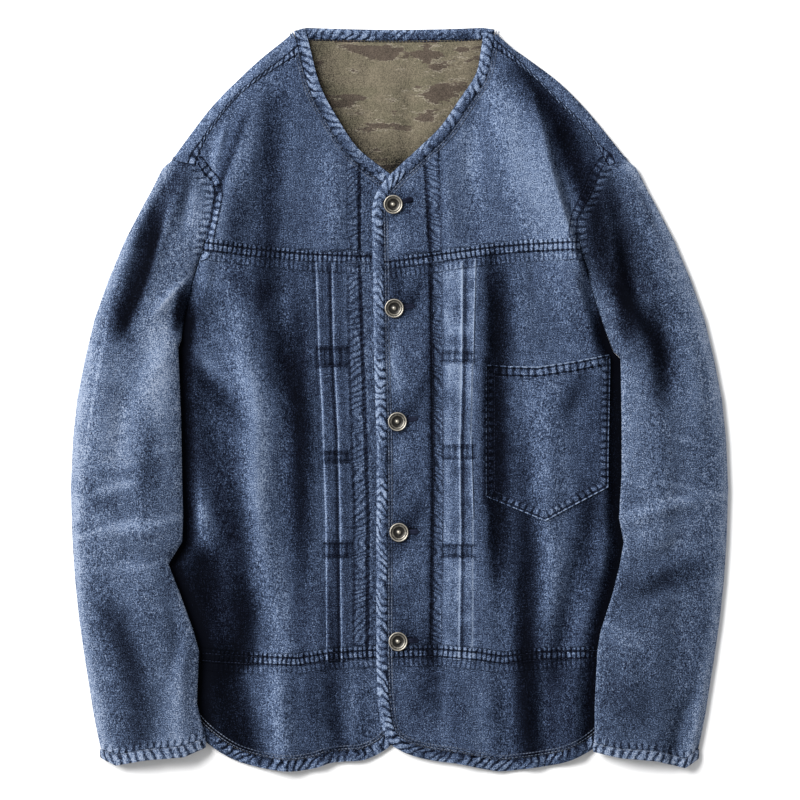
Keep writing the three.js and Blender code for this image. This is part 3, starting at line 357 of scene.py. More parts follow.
STRIP = {
    Side.LEFT: Strip(
        stitch=((-37.5, 220), (-37, 126), (-34.5, 50), (-31.5, -34), (-29, -112), (-30, -249)),
        outer=((-50, 127), (-48, 0), (-45, -112), (-45, -249)),
        inner_tuck=((-64, 128), (-62.5, 50), (-58, -34), (-56.5, -112), (-55, -249)),
        outer_tuck=((-79, 129), (-76.5, 50), (-73, -18), (-70, -112), (-69, -250)),
    ),
    Side.RIGHT: Strip(
        stitch=((23, 228), (28.5, 134), (30, 33), (31, -68), (30, -167), (29, -246)),
        outer=((40, 130), (41, 0), (41, -112), (40, -247)),
        inner_tuck=((60, 132), (59.5, 50), (57.5, -34), (58, -112), (56.5, -247)),
        outer_tuck=((72.5, 134), (70, 44), (68, -34), (70, -112), (69.5, -249)),
    ),
}
SHOULDER_FOLD = {
    Side.LEFT: (
        (-101, 349), (-109, 341.5), (-132.5, 322.5), (-153, 303.5), (-172, 284.5), (-188, 265.5), (-216, 227.5),
    ),
    Side.RIGHT: (
        (91, 348), (107, 334), (123, 322.5), (148.5, 303.5), (168.5, 284.5), (185.5, 265.5), (216, 227.5),
    ),
}
# Outer fold of a sleeve and its fullness, down the sleeve: (y, distance from the middle, fullness).
SLEEVE = (
    (226, 217, 3.5), (209, 228, 5.5), (190, 240, 7.5), (152, 260, 10), (114, 276, 11.5), (76, 289.5, 12.5),
    (38, 298.5, 13), (0, 306, 13), (-38, 310, 13.3), (-85, 312, 13.5), (-133, 310.5, 13), (-171, 308, 12.5),
    (-209, 304, 12), (-247, 298.5, 11.5), (-285, 291, 10.5), (-331, 280, 9.5),
)
# Inner fold of each sleeve below the underarm: (y, left, right) as distances from the middle.
SLEEVE_INNER = (
    (56, 210, 204), (42, 209.5, 209.5), (-19, 207, 210.5), (-72, 206, 210.5), (-112, 205, 208),
    (-135, 206, 212.5), (-156, 219, 209), (-184, 208, 202), (-220, 195, 190.5), (-239, 190, 187.5),
    (-285, 192, 185), (-305, 187, 185), (-331, 180, 183),
)
ARMHOLE_BACK = ((214, 224), (211, 205), (208, 170), (207.5, 130), (208.5, 95), (209.5, 60))
# Seam and hem of each cuff: (share of the way to the outer fold, seam Y, hem Y).
CUFF = {
    Side.LEFT: ((0, -320, -330), (0.2, -327, -338.5), (0.6, -331, -342), (0.85, -336, -347), (1, -331, -340)),
    Side.RIGHT: ((0, -325, -334), (0.25, -330, -339.5), (0.6, -332, -342.5), (0.87, -340, -349.5), (1, -331, -341)),
}
FRONT_FOLDS = {
    Side.LEFT: folds(
        (12, 24, 5, 0.2, 0.3, -146, 284, -160, 219, -173, 174, -181, 139, -190, 110, -199, 76, -203, 46),
        (-3.5, 9, 8, 0.2, 0.4, -182, 250, -177, 226, -181, 196),
        (2.6, 3.5, 3.5, 0.1, 0.2, -163, 262, -172, 240, -177, 214),
        (-4.5, 15, 13, 0.3, 0.5, -112, 322, -124, 230, -140, 150),
        (3.8, 12, 13, 0.1, 0.5, -70, 250, -62, 195, -66, 138),
        (-2.6, 8, 7, 0.6, 0, -168, 138, -176, 116, -182, 96),
        (10, 14, 17, 0.3, 0.4, -150, 124, -152, 67, -146, 30, -137, -2, -139, -60, -137, -103, -131, -141, -121,
         -183, -110, -236),
        (-5.5, 9, 10, 0.4, 0.2, -112, 130, -107, 33, -103, -18, -109, -86, -95, -190),
        (3.4, 9, 8, 0.5, 0.5, -90, 132, -87, 20, -85, -120, -83, -238),
        (5.5, 9, 11, 0.1, 0.3, -190, -60, -187, -121, -168, -152, -141, -193),
        (-7.5, 12, 16, 0.3, 0.3, -200, 40, -168, -18, -158, -103, -152, -150),
        (-5.5, 9, 10, 0.4, 0.6, -198, -162, -169, -203, -155, -246),
        (7, 13, 13, 0.3, 1, -118, -256, -113, -300, -108, -350),
        (-3.4, 13, 14, 0.3, 0.8, -158, -256, -160, -292, -150, -336),
        (3.2, 8, 8, 0.2, 0.9, -84, -260, -81, -316, -76, -345),
        (-2.4, 8, 8, 0.3, 0.6, -62, -256, -60, -300, -54, -342),
        (-2.4, 8, 8, 0.2, 0.2, -44, -252, -44, -280, -40, -312),
        (2.4, 8, 8, 0, 0.8, -186, -256, -186, -292, -172, -325),
    ),
    Side.RIGHT: folds(
        (12.5, 27, 5, 0.2, 0.3, 112, 312, 127, 286, 143, 219, 160, 161, 166, 138, 179, 96, 194, 56),
        (-3.2, 8, 8, 0.2, 0.5, 150, 270, 160, 240, 170, 200),
        (3, 5, 5, 0.2, 0.2, 168, 262, 176, 244, 184, 222),
        (6, 11, 16, 0.2, 0.5, 88, 322, 96, 262, 114, 196, 128, 152),
        (-3.8, 10, 10, 0.1, 0.6, 72, 282, 68, 220, 72, 146),
        (2.8, 6, 7, 0.1, 0.5, 40, 236, 46, 190, 48, 140),
        (-6, 7, 12, 0.8, 0.5, 89, 134, 91, 41, 87, -30, 92, -120, 97, -228),
        (3.4, 11, 11, 0.3, 0.3, 116, 132, 112, 90, 122, 44),
        (-2, 4, 4, 0.8, 0, 122, 138, 126, 122, 126, 104),
        (2.4, 9, 9, 0.3, 0.3, 150, 134, 158, 90, 168, 50),
        (7, 15, 13, 0.3, 0.4, 137, 34, 141, -40, 140, -112, 145, -158, 139, -214, 138, -246),
        (-3.4, 10, 9, 0.2, 0.3, 178, 28, 170, -14, 176, -80),
        (-6, 10, 9, 0.2, 0.6, 190, -84, 172, -160, 158, -227, 156, -246),
        (3.6, 8, 7, 0.1, 0.1, 198, -60, 197, -130, 190, -200),
        (-3, 7, 8, 0, 0.5, 120, -150, 116, -204, 122, -246),
        (3, 10, 9, 0.2, 0.5, 10, -256, 6, -290, 12, -330),
        (3.8, 10, 9, 0.2, 0.8, 48, -262, 64, -313, 67, -345),
        (-5, 10, 8, 0.5, 0.8, 97, -256, 101, -300, 108, -340),
        (3.4, 7, 7, 0.2, 0.6, 120, -262, 122, -310, 126, -345),
        (-3.4, 7, 8, 0.4, 0.6, 137, -256, 137, -295, 141, -335),
        (4, 11, 12, 0.2, 0.7, 163, -262, 163, -295, 166, -335),
        (-2, 5, 6, 0.2, 0.4, 10, 82, 18, 102, 24, 118),
        (1.8, 7, 7, 0.1, 0.2, 10, -40, 20, -62, 26, -80),
    ),
}
SLEEVE_FOLDS = {
    Side.LEFT: folds(
        (-7, 8, 9, 0.4, 0.4, -212, 214, -238, 158, -262, 74),
        (-3.5, 5, 6, 0.6, 0, -198, 206, -202, 180, -206, 150),
        (3.6, 7, 6, 0.4, 0.2, -208, 206, -224, 160, -242, 96),
        (4.2, 9, 4, 0.3, 0.1, -203, 112, -218, 98, -238, 74),
        (3.4, 12, 9, 0.1, 0.1, -262, 90, -282, 30, -283, -60),
        (-2.8, 10, 8, 0, 0.3, -257, 20, -262, -20, -266, -60),
        (-4, 9, 7, 0.9, 0, -221, -156, -242, -148, -268, -146),
        (-2.4, 6, 6, 0.2, 0.4, -210, -70, -236, -64, -284, -58),
        (2.6, 7, 7, 0.4, 0.3, -212, -120, -246, -126, -290, -122),
        (2.2, 4, 4, 0.2, 0.4, -302, -62, -303, -170, -283, -300),
        (-3.6, 5, 6, 0.1, 0.1, -216, -190, -210, -230, -216, -262),
        (3.2, 6, 9, 0.5, 0.4, -200, -230, -206, -270, -202, -318),
        (-2.6, 8, 8, 0.1, 0.6, -226, -262, -230, -292, -232, -322),
        (2.8, 12, 10, 0.1, 0.5, -262, -180, -266, -240, -258, -322),
    ),
    Side.RIGHT: folds(
        (-5.5, 7, 9, 0.5, 0.4, 202, 212, 209, 160, 222, 104),
        (3.2, 9, 9, 0.3, 0.3, 216, 212, 240, 160, 262, 84),
        (-2.8, 4, 5, 0.3, 0, 222, 208, 240, 176, 250, 150),
        (4.4, 4, 7, 0.3, 0.1, 196, 118, 216, 102, 229, 48),
        (-4.6, 10, 9, 0.2, 0.1, 246, 100, 254, 40, 250, -20),
        (3, 10, 9, 0.1, 0.1, 268, 76, 282, 20, 284, -50),
        (3, 6, 6, 0.5, 0.3, 214, -115, 250, -104, 300, -92),
        (-4.4, 9, 9, 0.4, 0, 216, -150, 240, -152, 276, -130),
        (-3.4, 8, 8, 0.4, 0, 208, -196, 236, -186, 266, -160),
        (4, 8, 8, 0.3, 0.1, 198, -222, 214, -244, 220, -280),
        (-4, 6, 6, 0.4, 0.1, 196, -248, 208, -282, 232, -318),
        (-2.6, 8, 7, 0, 0.4, 240, -262, 236, -290, 250, -322),
        (-4.5, 6, 6, 1, 0, 256, -336, 264, -300, 282, -262),
        (2.8, 5, 4, 0.5, 0.1, 272, -330, 284, -290, 294, -240),
    ),
}
# Paler places above 0 and darker ones below 0, in shares of the whole range from raw to worn denim: partly wear, and
# partly painted highlights and painted shade in hollows, beside the sleeves and under fold edges.
FRONT_WEAR_AND_SHADING = {
    Side.LEFT: folds(
        (0.08, 12, 14, 0.3, 0.5, -63, 247, -63, 147),
        (-0.48, 11, 12, 0.4, 0.3, -117, 290, -122, 215, -124, 150, -127, 85, -108, 40, -95, -20, -95, -90, -92, -160),
        (-0.50, 12, 11, 0.2, 0.3, -94, 118, -96, 60, -92, -30, -92, -130),
        (0.16, 12, 3, 0.3, 0.3, -138, 284, -145, 252, -159, 210, -170, 180, -180, 152, -190, 110),
        (-0.36, 3, 4, 0.4, 0.2, -143, 276, -153, 250, -168, 208, -178, 184, -188, 154),
        (0.26, 4, 4, 0.3, 0.3, -166, 262, -176, 222, -182, 196),
        (-0.50, 8, 9, 0.3, 0.6, -196, 96, -202, 62, -206, 40),
        (-0.12, 14, 12, 0.5, 0.5, -152, 122, -157, 104),
        (0.30, 11, 11, 0.3, 0.4, -152, 75, -150, 40, -134, 0, -130, -59, -129, -100, -122, -141, -116, -183, -112,
         -238),
        (-0.16, 14, 10, 0.5, 0.2, -190, 118, -188, 90, -190, 66),
        (-0.24, 14, 16, 0.3, 0.3, -200, 24, -190, -10, -186, -50, -176, -88),
        (-0.34, 8, 9, 0.5, 0.2, -204, 40, -186, 20, -166, -2, -152, -30),
        (0.12, 7, 7, 0.4, 0.2, -190, 44, -168, 22, -148, 4),
        (-0.18, 9, 9, 0.3, 0.3, -122, -90, -120, -140, -116, -190),
        (-0.22, 12, 14, 0.9, 0.9, -174, -252, -170, -290, -160, -330),
        (-0.34, 13, 12, 0.9, 0.9, -150, -250, -148, -290, -142, -334),
        (-0.20, 16, 16, 0.3, 1, -160, -176, -156, -210, -158, -246),
        (-0.28, 9, 9, 0.3, 0.9, -96, -70, -93, -110, -92, -150, -92, -240),
        (-0.24, 9, 9, 0.3, 0.8, -152, 214, -156, 180, -156, 146),
        (-0.14, 9, 9, 0.2, 0.3, -122, 262, -124, 236, -126, 214),
        (0.14, 10, 8, 0.6, 0.2, -124, 316, -122, 300, -118, 280),
        (-0.16, 12, 10, 0.8, 0.8, -158, 132, -152, 118, -132, 100, -108, 118, -94, 128),
        (-0.24, 10, 9, 0.3, 0.3, -122, 52, -121, 30, -116, 8),
        (0.34, 7, 8, 0.2, 0.3, -186, -92, -185, -120, -184, -144),
        (0.16, 8, 6, 0.3, 0.3, -184, 46, -182, 28, -176, 12),
        (-0.60, 12, 20, 0.3, 0.9, -162, -60, -158, -110, -152, -160, -150, -210, -152, -244),
        (-0.75, 14, 20, 0.2, 0.6, -190, -132, -186, -170, -188, -244),
        (0.16, 7, 7, 0.3, 0.3, -188, -79, -186, -108, -168, -134, -141, -173),
        (-0.26, 10, 10, 0.3, 1, -72, -170, -64, -240),
        (0.12, 7, 6, 0.4, 0.4, -33, 215, -32, 60, -31, -60, -31, -200),
        (-0.70, 17, 24, 0.9, 0.9, -175, -252, -160, -290, -150, -335),
        (0.14, 9, 9, 0.5, 0.8, -115, -255, -114, -285, -111, -328),
        (-0.52, 10, 10, 0.9, 0.9, -64, -253, -62, -300, -56, -340),
        (-0.24, 8, 8, 0.8, 0.9, -84, -256, -83, -290, -80, -340),
        (-0.20, 9, 9, 0.3, 0.6, -142, -170, -140, -200, -140, -244),
        (-0.14, 9, 9, 0.3, 0.6, -176, -140, -174, -170, -172, -196),
        (0.14, 6, 6, 0.3, 0.3, -176, 256, -178, 238, -180, 220),
        (-0.25, 12, 10, 0.3, 0.8, -206, -262, -204, -286, -196, -306),
        (-0.05, 9, 9, 0.8, 0.3, -40, -251, -40, -300),
    ),
    Side.RIGHT: folds(
        (0.18, 20, 16, 0.5, 0.9, 86, 304, 114, 237, 150, 147),
        (-0.80, 9, 18, 0.4, 0.3, 118, 314, 146, 270, 164, 230, 180, 184, 182, 146, 190, 112),
        (-0.34, 17, 14, 0.6, 0.3, 106, 322, 126, 294, 146, 258),
        (-0.75, 8, 9, 0.2, 0.4, 192, 92, 199, 64, 206, 40, 214, 14),
        (0.12, 9, 4, 0.4, 0.4, 130, 285, 146, 218, 163, 161, 170, 138, 181, 95),
        (-0.80, 8, 14, 0.3, 0.1, 88, 132, 91, 91, 91, -60, 92, -140, 94, -190),
        (-0.20, 18, 16, 0.3, 0.9, 122, -150, 121, -190, 122, -240),
        (-0.22, 10, 12, 0.3, 0.2, 148, 262, 152, 240, 154, 206),
        (-0.30, 8, 10, 0.3, 0.3, 178, 166, 181, 150, 178, 128),
        (0.28, 14, 10, 0.2, 0.3, 66, 268, 69, 232, 70, 192),
        (0.16, 6, 6, 0.6, 0.2, 6, 222, 10, 210, 12, 196),
        (0.30, 10, 10, 0.2, 0.4, -10, 50, -4, 24, -6, 2),
        (-0.26, 6, 6, 0.4, 0.6, 27, 22, 18, 2, 8, -12),
        (-0.22, 6, 6, 0.4, 0.6, 26, 122, 16, 100, 6, 88),
        (-0.22, 6, 6, 0.4, 0.6, 26, -84, 16, -106, 6, -120),
        (-0.16, 6, 7, 0.3, 0.3, 31, 60, 30, 30, 30, -90),
        (-0.16, 12, 14, 0.9, 0.8, -2, -252, 0, -280, 2, -316),
        (-0.16, 10, 10, 0.9, 0.3, 28, -252, 30, -276, 34, -300),
        (-0.18, 12, 10, 0.3, 0.8, 120, -200, 120, -260, 124, -340),
        (-0.20, 12, 10, 0.3, 0.3, 152, -196, 150, -236, 150, -280),
        (0.12, 8, 8, 0.3, 0.6, 180, -200, 181, -240, 182, -310),
        (-0.20, 10, 10, 0.8, 0.2, -4, 124, -3, 104, 0, 74),
        (-0.22, 10, 10, 0.3, 0.3, 0, -108, -1, -130, -2, -158),
        (-0.10, 14, 14, 0.3, 0.8, 2, -170, 4, -200, 20, -240),
        (-0.18, 12, 14, 0.3, 0.6, 93, 104, 92, 80, 92, 54),
        (-0.56, 10, 11, 0.0, 0.9, 122, 0, 118, -60, 120, -120, 120, -180, 120, -240),
        (0.13, 9, 9, 0.3, 0.3, 147, -110, 145, -158, 139, -228),
        (-0.36, 11, 12, 0.2, 0.3, 180, 40, 182, 0, 181, -60, 176, -130, 178, -190),
        (0.08, 14, 12, 0.6, 0.4, 146, 30, 143, -95),
        (-0.22, 4, 6, 0.4, 1, 26, 205, 29, 130, 31, -60, 29, -246),
        (0.15, 14, 14, 1, 1, 57, 130, 56, -244),
        (-0.66, 12, 12, 0.9, 0.8, 122, -252, 122, -300, 126, -342),
        (-0.24, 10, 12, 0.9, 0.8, 150, -252, 150, -300, 152, -335),
        (-0.20, 8, 9, 0.3, 0.3, 28, -210, 28, -246, 26, -290),
        (0.12, 12, 10, 0.3, 0.8, 70, -262, 78, -331),
        (0.08, 9, 9, 0.5, 0.8, 182, -255, 180, -318),
    ),
}
# Paler and darker places on the sleeves, the same way: partly wear, and partly painted highlights and painted shade at
# the armholes and in hollows.
SLEEVE_WEAR_AND_SHADING = {
    Side.LEFT: folds(
        (0.13, 7, 5, 0.6, 0.3, -193, 115, -210, 101, -231, 77),
        (-1.05, 6, 14, 0.2, 0.1, -222, 195, -230, 160, -240, 121, -258, 78, -274, 50),
        (0.16, 3, 2.5, 0.2, 0.3, -218, 186, -226, 150, -236, 112),
        (-0.95, 9, 5, 0.5, 0.1, -204, 106, -209, 86, -212, 60),
        (0.34, 2.2, 1.8, 0.4, 0.2, -194, 122, -212, 104, -233, 79),
        (0.20, 10, 12, 0.2, 0.2, -262, 10, -265, -30, -262, -80),
        (-0.16, 8, 8, 0.3, 0.3, -234, -14, -235, -46, -234, -76),
        (-0.14, 7, 7, 0.3, 0.3, -300, -84, -288, -96, -272, -100),
        (0.10, 12, 12, 0.3, 0.8, -214, -240, -214, -280, -214, -320),
        (-0.34, 9, 9, 0.8, 0.2, -206, 220, -214, 205, -218, 190),
        (-0.10, 20, 20, 0.3, 0.9, -240, -190, -262, -250, -256, -318),
        (-0.16, 8, 10, 0.3, 0.3, -236, -20, -238, -60, -232, -110),
        (0.10, 7, 8, 0.3, 0.3, -286, 60, -298, 10, -303, -60, -302, -130),
        (0.20, 9, 9, 0.3, 0.3, -198, 214, -196, 180, -196, 140),
        (0.33, 13, 18, 0.4, 0.2, -226, 84, -227, 40, -232, -40),
        (0.26, 1.6, 1.6, 0.3, 0.6, -274, 92, -281, 50, -290, 0, -300, -61),
        (-0.24, 8, 8, 0.4, 0.2, -262, 84, -256, 44),
        (-0.14, 5, 5, 0.5, 0.2, -292, -66, -266, -69, -240, -66),
        (0.09, 5, 5, 0.6, 0.3, -296, -59, -266, -61, -237, -57),
        (0.09, 5, 5, 0.5, 0.3, -286, -124, -256, -120, -224, -124),
        (-0.10, 12, 12, 0.3, 0.3, -289, -95, -256, -94, -218, -67),
        (-0.12, 11, 11, 0.5, 0.3, -221, -150, -221, -200, -208, -250),
        (-0.46, 11, 14, 0.2, 0.7, -280, -180, -266, -220, -250, -262, -246, -318),
        (0.13, 10, 9, 0.3, 0.8, -209, -262, -212, -323),
        (0.06, 4, 4, 0.3, 0.3, -287, -24, -298, -57, -303, -86),
        (0.05, 4, 4, 0.3, 0.3, -192, -281, -195, -301, -198, -325),
        (-0.16, 7, 8, 0.6, 0.3, -195, 215, -209, 176),
    ),
    Side.RIGHT: folds(
        (0.10, 10, 10, 0.3, 0.3, 228, 175, 259, 118, 287, 61),
        (-0.78, 8, 9, 0.2, 0.1, 202, 200, 209, 165, 212, 121, 218, 88, 238, 62, 250, 30, 252, 0),
        (-0.80, 13, 14, 0.3, 0.5, 190, 208, 188, 175, 190, 148, 200, 110),
        (-0.26, 14, 18, 0.4, 0.2, 216, 190, 226, 140, 238, 92, 254, 40, 256, 0),
        (-0.60, 9, 9, 0.4, 0.3, 206, 112, 212, 92, 214, 70, 226, 48),
        (-0.24, 11, 11, 0.6, 0.3, 206, -170, 232, -178, 268, -168),
        (-0.24, 9, 10, 0.3, 0.3, 240, 52, 243, 26, 246, -4),
        (0.18, 10, 8, 0.6, 0.2, 200, -214, 216, -224, 236, -232),
        (0.12, 10, 12, 0.3, 0.3, 219, 30, 219, -72),
        (0.12, 5, 5, 0.5, 0.4, 210, -115, 238, -100, 259, -94, 306, -92),
        (0.08, 4, 4, 0.5, 0.3, 213, -126, 238, -124, 270, -124),
        (-0.22, 14, 14, 0.4, 0.3, 226, -160, 262, -168, 296, -150),
        (-0.12, 10, 12, 0.3, 0.5, 216, -262, 224, -306),
        (0.06, 3, 3, 0.3, 0.3, 190, -251, 198, -273, 208, -285),
        (0.06, 3, 3, 0.3, 0.3, 225, -301, 233, -312, 240, -321),
        (-0.09, 4, 4, 0.3, 0.8, 249, -315, 244, -332),
    ),
}
POCKET_TOP = ((82, 33), (104, 31.5), (131, 31), (165, 36), (200, 43))
POCKET_BOTTOM = ((82, -92), (138, -115), (198, -83))
BACK_HEM = (
    (-217, -262), (-205, -288), (-188, -306), (-166, -319), (-130, -327), (-70, -326), (0, -318), (70, -326),
    (130, -327), (170, -319), (192, -305), (209, -286), (220, -262),
)
NECK_BAND = ((-89.6, 353), (-45, 351.6), (-4, 351), (40, 351.6), (80, 353))
BUTTONS = ((-6, 185), (-5, 86.5), (-2, -21), (-0.5, -126), (-1.4, -229.5))
# Bars of stitching that hold the tucks down: (highest Y, lowest Y) on each side.
TACKS = {
    Side.LEFT: ((50, 31), (-49, -60), (-135, -150)),
    Side.RIGHT: ((46, 35), (-43, -57), (-137, -150)),
}
BUTTONHOLE_TILTS = (0.30, 0.12, 0.16, 0.03, 0.05)


@dataclass(frozen=True)
class FrontLook:
    """A front's base tone, how much darker its hem band is and how much lighter its yoke is, and the strength of its
    armhole's puckers.
    """

    base: float
    hem: float
    yoke: float
    armhole: float


FRONT_LOOK = {Side.LEFT: FrontLook(0.35, 0.02, -0.04, 0.85), Side.RIGHT: FrontLook(0.345, 0.08, 0.05, 0.5)}


@dataclass(frozen=True)
class SeamBand:
    """A sewn seam's band of doubled, puckered cloth on one side of a line."""

    line: Array
    low: float
    high: float
    strength: float
    shift: float = 0.0
    pace: float = 1.0

    def at(self, x: Array, y: Array) -> tuple[Array, Array, Array]:
        """How much of the band there is at each place, the millimetres run along it, and the place across it."""
        _, signed, place, _ = nearest(self.line, x, y)
        run = run_at(self.line, place) * self.pace
        inside = smooth((signed - self.low) / 1.2 + 0.5) * smooth((self.high - signed) / 1.6 + 0.5)
        return self.strength * inside, run, signed + self.shift


def bands_at(bands: list[SeamBand], x: Array, y: Array) -> tuple[Array, Array, Array]:
    """Strongest band at each place.

    Args:
        bands: the bands of a piece.
        x: X of the places.
        y: Y of them.

    Returns:
        Its strength, the millimetres run along it and the place across it.
    """
    mask, run, across = np.zeros(x.shape), np.zeros(x.shape), np.full(x.shape, -9.0)
    for band in bands:
        here, along, place = band.at(x, y)
        run = np.where(here > mask, along, run)
        across = np.where(here > mask, place, across)
        mask = np.maximum(mask, here)
    return mask, run, across


def pucker(run: Array) -> Array:
    """Wave of a puckered seam over the millimetres run along it, uneven in pitch."""
    return np.sin(2 * np.pi * run / PUCKER + 1.6 * np.sin(run / 17.0) + 0.9 * np.sin(run / 7.3))


def sleeve_inner(side: Side, y: Array) -> Array:
    """Distance from the middle of a sleeve's inner edge as it shows from above."""
    seams = SEAMS[side]
    table = np.array(SLEEVE_INNER, float)
    below = np.interp(y, table[::-1, 0], table[::-1, 1 if side is Side.LEFT else 2])
    body = np.abs(x_at(seams.side, y)) + ARMHOLE_GAP
    top = np.abs(x_at(seams.armhole, y)) + ARMHOLE_GAP
    return np.where(y > seams.side[0][1], top, np.where(y > UNDERARM_Y, body, np.minimum(below, body)))


@dataclass
class FrontShape:
    """Shape of one front as it lies: its edge, its heights, the wear of its denim with painted light and shade, and
    its sewn bands.
    """

    side: Side
    tack_depth: float = 0.36
    edge: Spline = field(init=False)
    levels: dict[str, float] = field(init=False)
    bands: list[SeamBand] = field(init=False)

    def __post_init__(self) -> None:
        """Works out where the edge meets the seams, and the bands beside the seams."""
        edge, seams, sign = EDGE[self.side], SEAMS[self.side], self.side.value
        points = np.array(edge.neckline + edge.opening + edge.hem, float)
        self.edge = Spline(points)
        last = len(points) - 1
        neck_end = (len(edge.neckline) - 1) / last
        corner = (len(edge.neckline) + len(edge.opening) - 1) / last
        shoulder = self.crossing(seams.shoulder, 0.0, neck_end / 2)
        yoke = self.crossing(seams.yoke, neck_end, corner)
        waist = self.crossing(seams.waist, yoke, corner)
        self.levels = {"shoulder": shoulder, "yoke": yoke, "waist": waist, "corner": corner}
        outline = self.edge(np.linspace(0, 1, 240))
        flipped = lambda rows: np.array(rows, float) * [sign, 1]
        self.bands = [
            SeamBand(outline * [sign, 1], 10.7, 13.4, 0.6, ROW_PLACES[0] - EDGE_ROW),
            SeamBand(flipped(seams.yoke), 0.3, 13.0, 1.0, 0, 1.45),
            SeamBand(flipped(seams.yoke), -7.5, -0.3, 0.55, 20, 1.45),
            SeamBand(flipped(seams.waist), 0.3, 13.0, 1.0, 0, 1.45),
            SeamBand(flipped(seams.waist), -7.5, -0.3, 0.5, 20, 1.45),
            SeamBand(flipped(seams.armhole), -9.5, -0.2, FRONT_LOOK[self.side].armhole, 10.6),
        ]

    def within(self, t: Array) -> Array:
        """The line that the panels reach, inside the bound edge."""
        return beside(self.edge, np.asarray(t, float), self.side.value * (BOUND_WIDTH + SEAM_GAP))

    def crossing(self, rows: Points, low: float, high: float) -> float:
        """The t at which the panels' line falls below a seam."""
        t = np.linspace(low, high, 4001)
        place = self.within(t)
        below = place[:, 1] <= y_at(rows, place[:, 0])
        k = int(np.argmax(below))
        return float(t[max(k, 1) - 1 : max(k, 1) + 1].mean())

    def edge_at(self, heights: Array) -> Array:
        """The t between yoke and waist at which the panels' line is at each height."""
        t = np.linspace(self.levels["yoke"], self.levels["waist"], 3001)
        y = self.within(t)[:, 1]
        return np.interp(heights, y[::-1], t[::-1])

    def tucks(self, x: Array, y: Array) -> Array:
        """Rise of the two tucks: each climbs to its folded edge, which faces the side seam, and drops there."""
        strip, seams = STRIP[self.side], SEAMS[self.side]
        at = np.abs(x)
        outer, inner, start = (np.abs(x_at(rows, y)) for rows in (strip.outer_tuck, strip.inner_tuck, strip.outer))
        second = TUCK_RISE * lerp(0.25, 1, (at - inner) / (outer - inner))
        first = TUCK_RISE * lerp(0.1, 1, (at - start) / (inner - start))
        rise = np.where((at <= outer) & (at > inner), second, np.where((at <= inner) & (at > start), first, 0.0))
        return np.where((y > y_at(seams.yoke, x)) | (y < y_at(seams.waist, x)), 0.0, rise)

    def height(self, x: Array, y: Array) -> Array:
        """Outer face of the front: low where it is pressed at the opening, hem, side seam and under the sleeve, and
        full between them, with the folds and tucks on it."""
        side, at, over = self.side, np.abs(x), self.side is Side.RIGHT
        placket = OVER_PLACKET if over else UNDER_PLACKET
        stitch = x_at(STRIP[side].stitch, y)
        out = smooth((self.side.value * (x - stitch) + 14) / 34)
        sleeve_off = smooth((sleeve_inner(side, np.minimum(y, UNDERARM_Y)) - 3 - at) / 16)
        covered = lerp(sleeve_off, 1, smooth((y - 70) / 40))
        hem = lerp(0.45, 1, smooth((y + 352) / 60))
        shoulder = lerp(0.35, 1, smooth((y_at(SHOULDER_FOLD[side], x) - y) / 60))
        lump = folds_at(FRONT_FOLDS[side], x, y) * lerp(0.35, 1, out)
        loft = lerp(placket, LOW_FRONT + FULLNESS * hem * shoulder, out) + lump
        seam = np.abs(x_at(SEAMS[side].side, y))
        closing = (1 - smooth((seam - 1 - at) / 14)) * smooth((y + 240) / 30) * smooth((130 - y) / 30)
        least = lerp(lerp(LOW_FRONT, placket, (1 - out) * covered), SIDE_SEAM, closing)
        over_least = lerp(least, loft, covered * (1 - closing)) - least
        soft = 0.5 * (over_least + np.hypot(over_least, SOFTNESS) - SOFTNESS * np.exp(-np.abs(over_least) / 4))
        return least + soft + self.tucks(x, y) * covered

    def rope(self, x: Array, y: Array) -> tuple[Array, Array, Array]:
        """Strength of the puckered bands, the front strip's among them, the run along them and the place across."""
        mask, run, across = bands_at(self.bands, x * self.side.value, y)
        strip, at = STRIP[self.side], np.abs(x)
        start, end = np.abs(x_at(strip.stitch, y)), np.abs(x_at(strip.outer, y))
        inside = 0.46 * smooth((at - start + 3) / 1.6) * smooth((end - at) / 2.4 + 0.5) * (x * self.side.value > 0)
        drift = 9 * CRUMPLE[1](x / 30, y / 11) + 0.7 * (at - start)
        inside = inside * smooth((y - y_at(SEAMS[self.side].waist, x)) / 2)
        run = np.where(inside > mask, y + drift, run)
        across = np.where(inside > mask, ROW_PLACES[0] + 0.5 * (at - start), across)
        return np.maximum(mask, inside), run, across

    def relief(self, x: Array, y: Array) -> Array:
        """Small relief: doubled cloth and puckers in the bands, and the unevenness of worn cloth."""
        mask, run, _ = self.rope(x, y)
        return mask * (0.3 + 0.3 * pucker(run)) + 0.42 * crumple(x, y)

    def surface(self, x: Array, y: Array) -> Array:
        """Outer face with its small relief."""
        return self.height(x, y) + self.relief(x, y)

    def under(self, x: Array, y: Array) -> Array:
        """Inner face: the cloth's thickness below the outer face on slopes too, and over the back."""
        across = (self.height(x + SLOPE_STEP, y) - self.height(x - SLOPE_STEP, y)) / (2 * SLOPE_STEP)
        along = (self.height(x, y + SLOPE_STEP) - self.height(x, y - SLOPE_STEP)) / (2 * SLOPE_STEP)
        thick = CLOTH * np.clip(np.sqrt(1 + across**2 + along**2), 1, STEEPEST)
        lined = smooth((150 - np.abs(x)) / 12) * smooth((y - 160) / 12)
        floor = BACK_TOP + SEAM_GAP + lined * (LINING + LAYER_GAP)
        return np.maximum(self.height(x, y) - thick, floor)

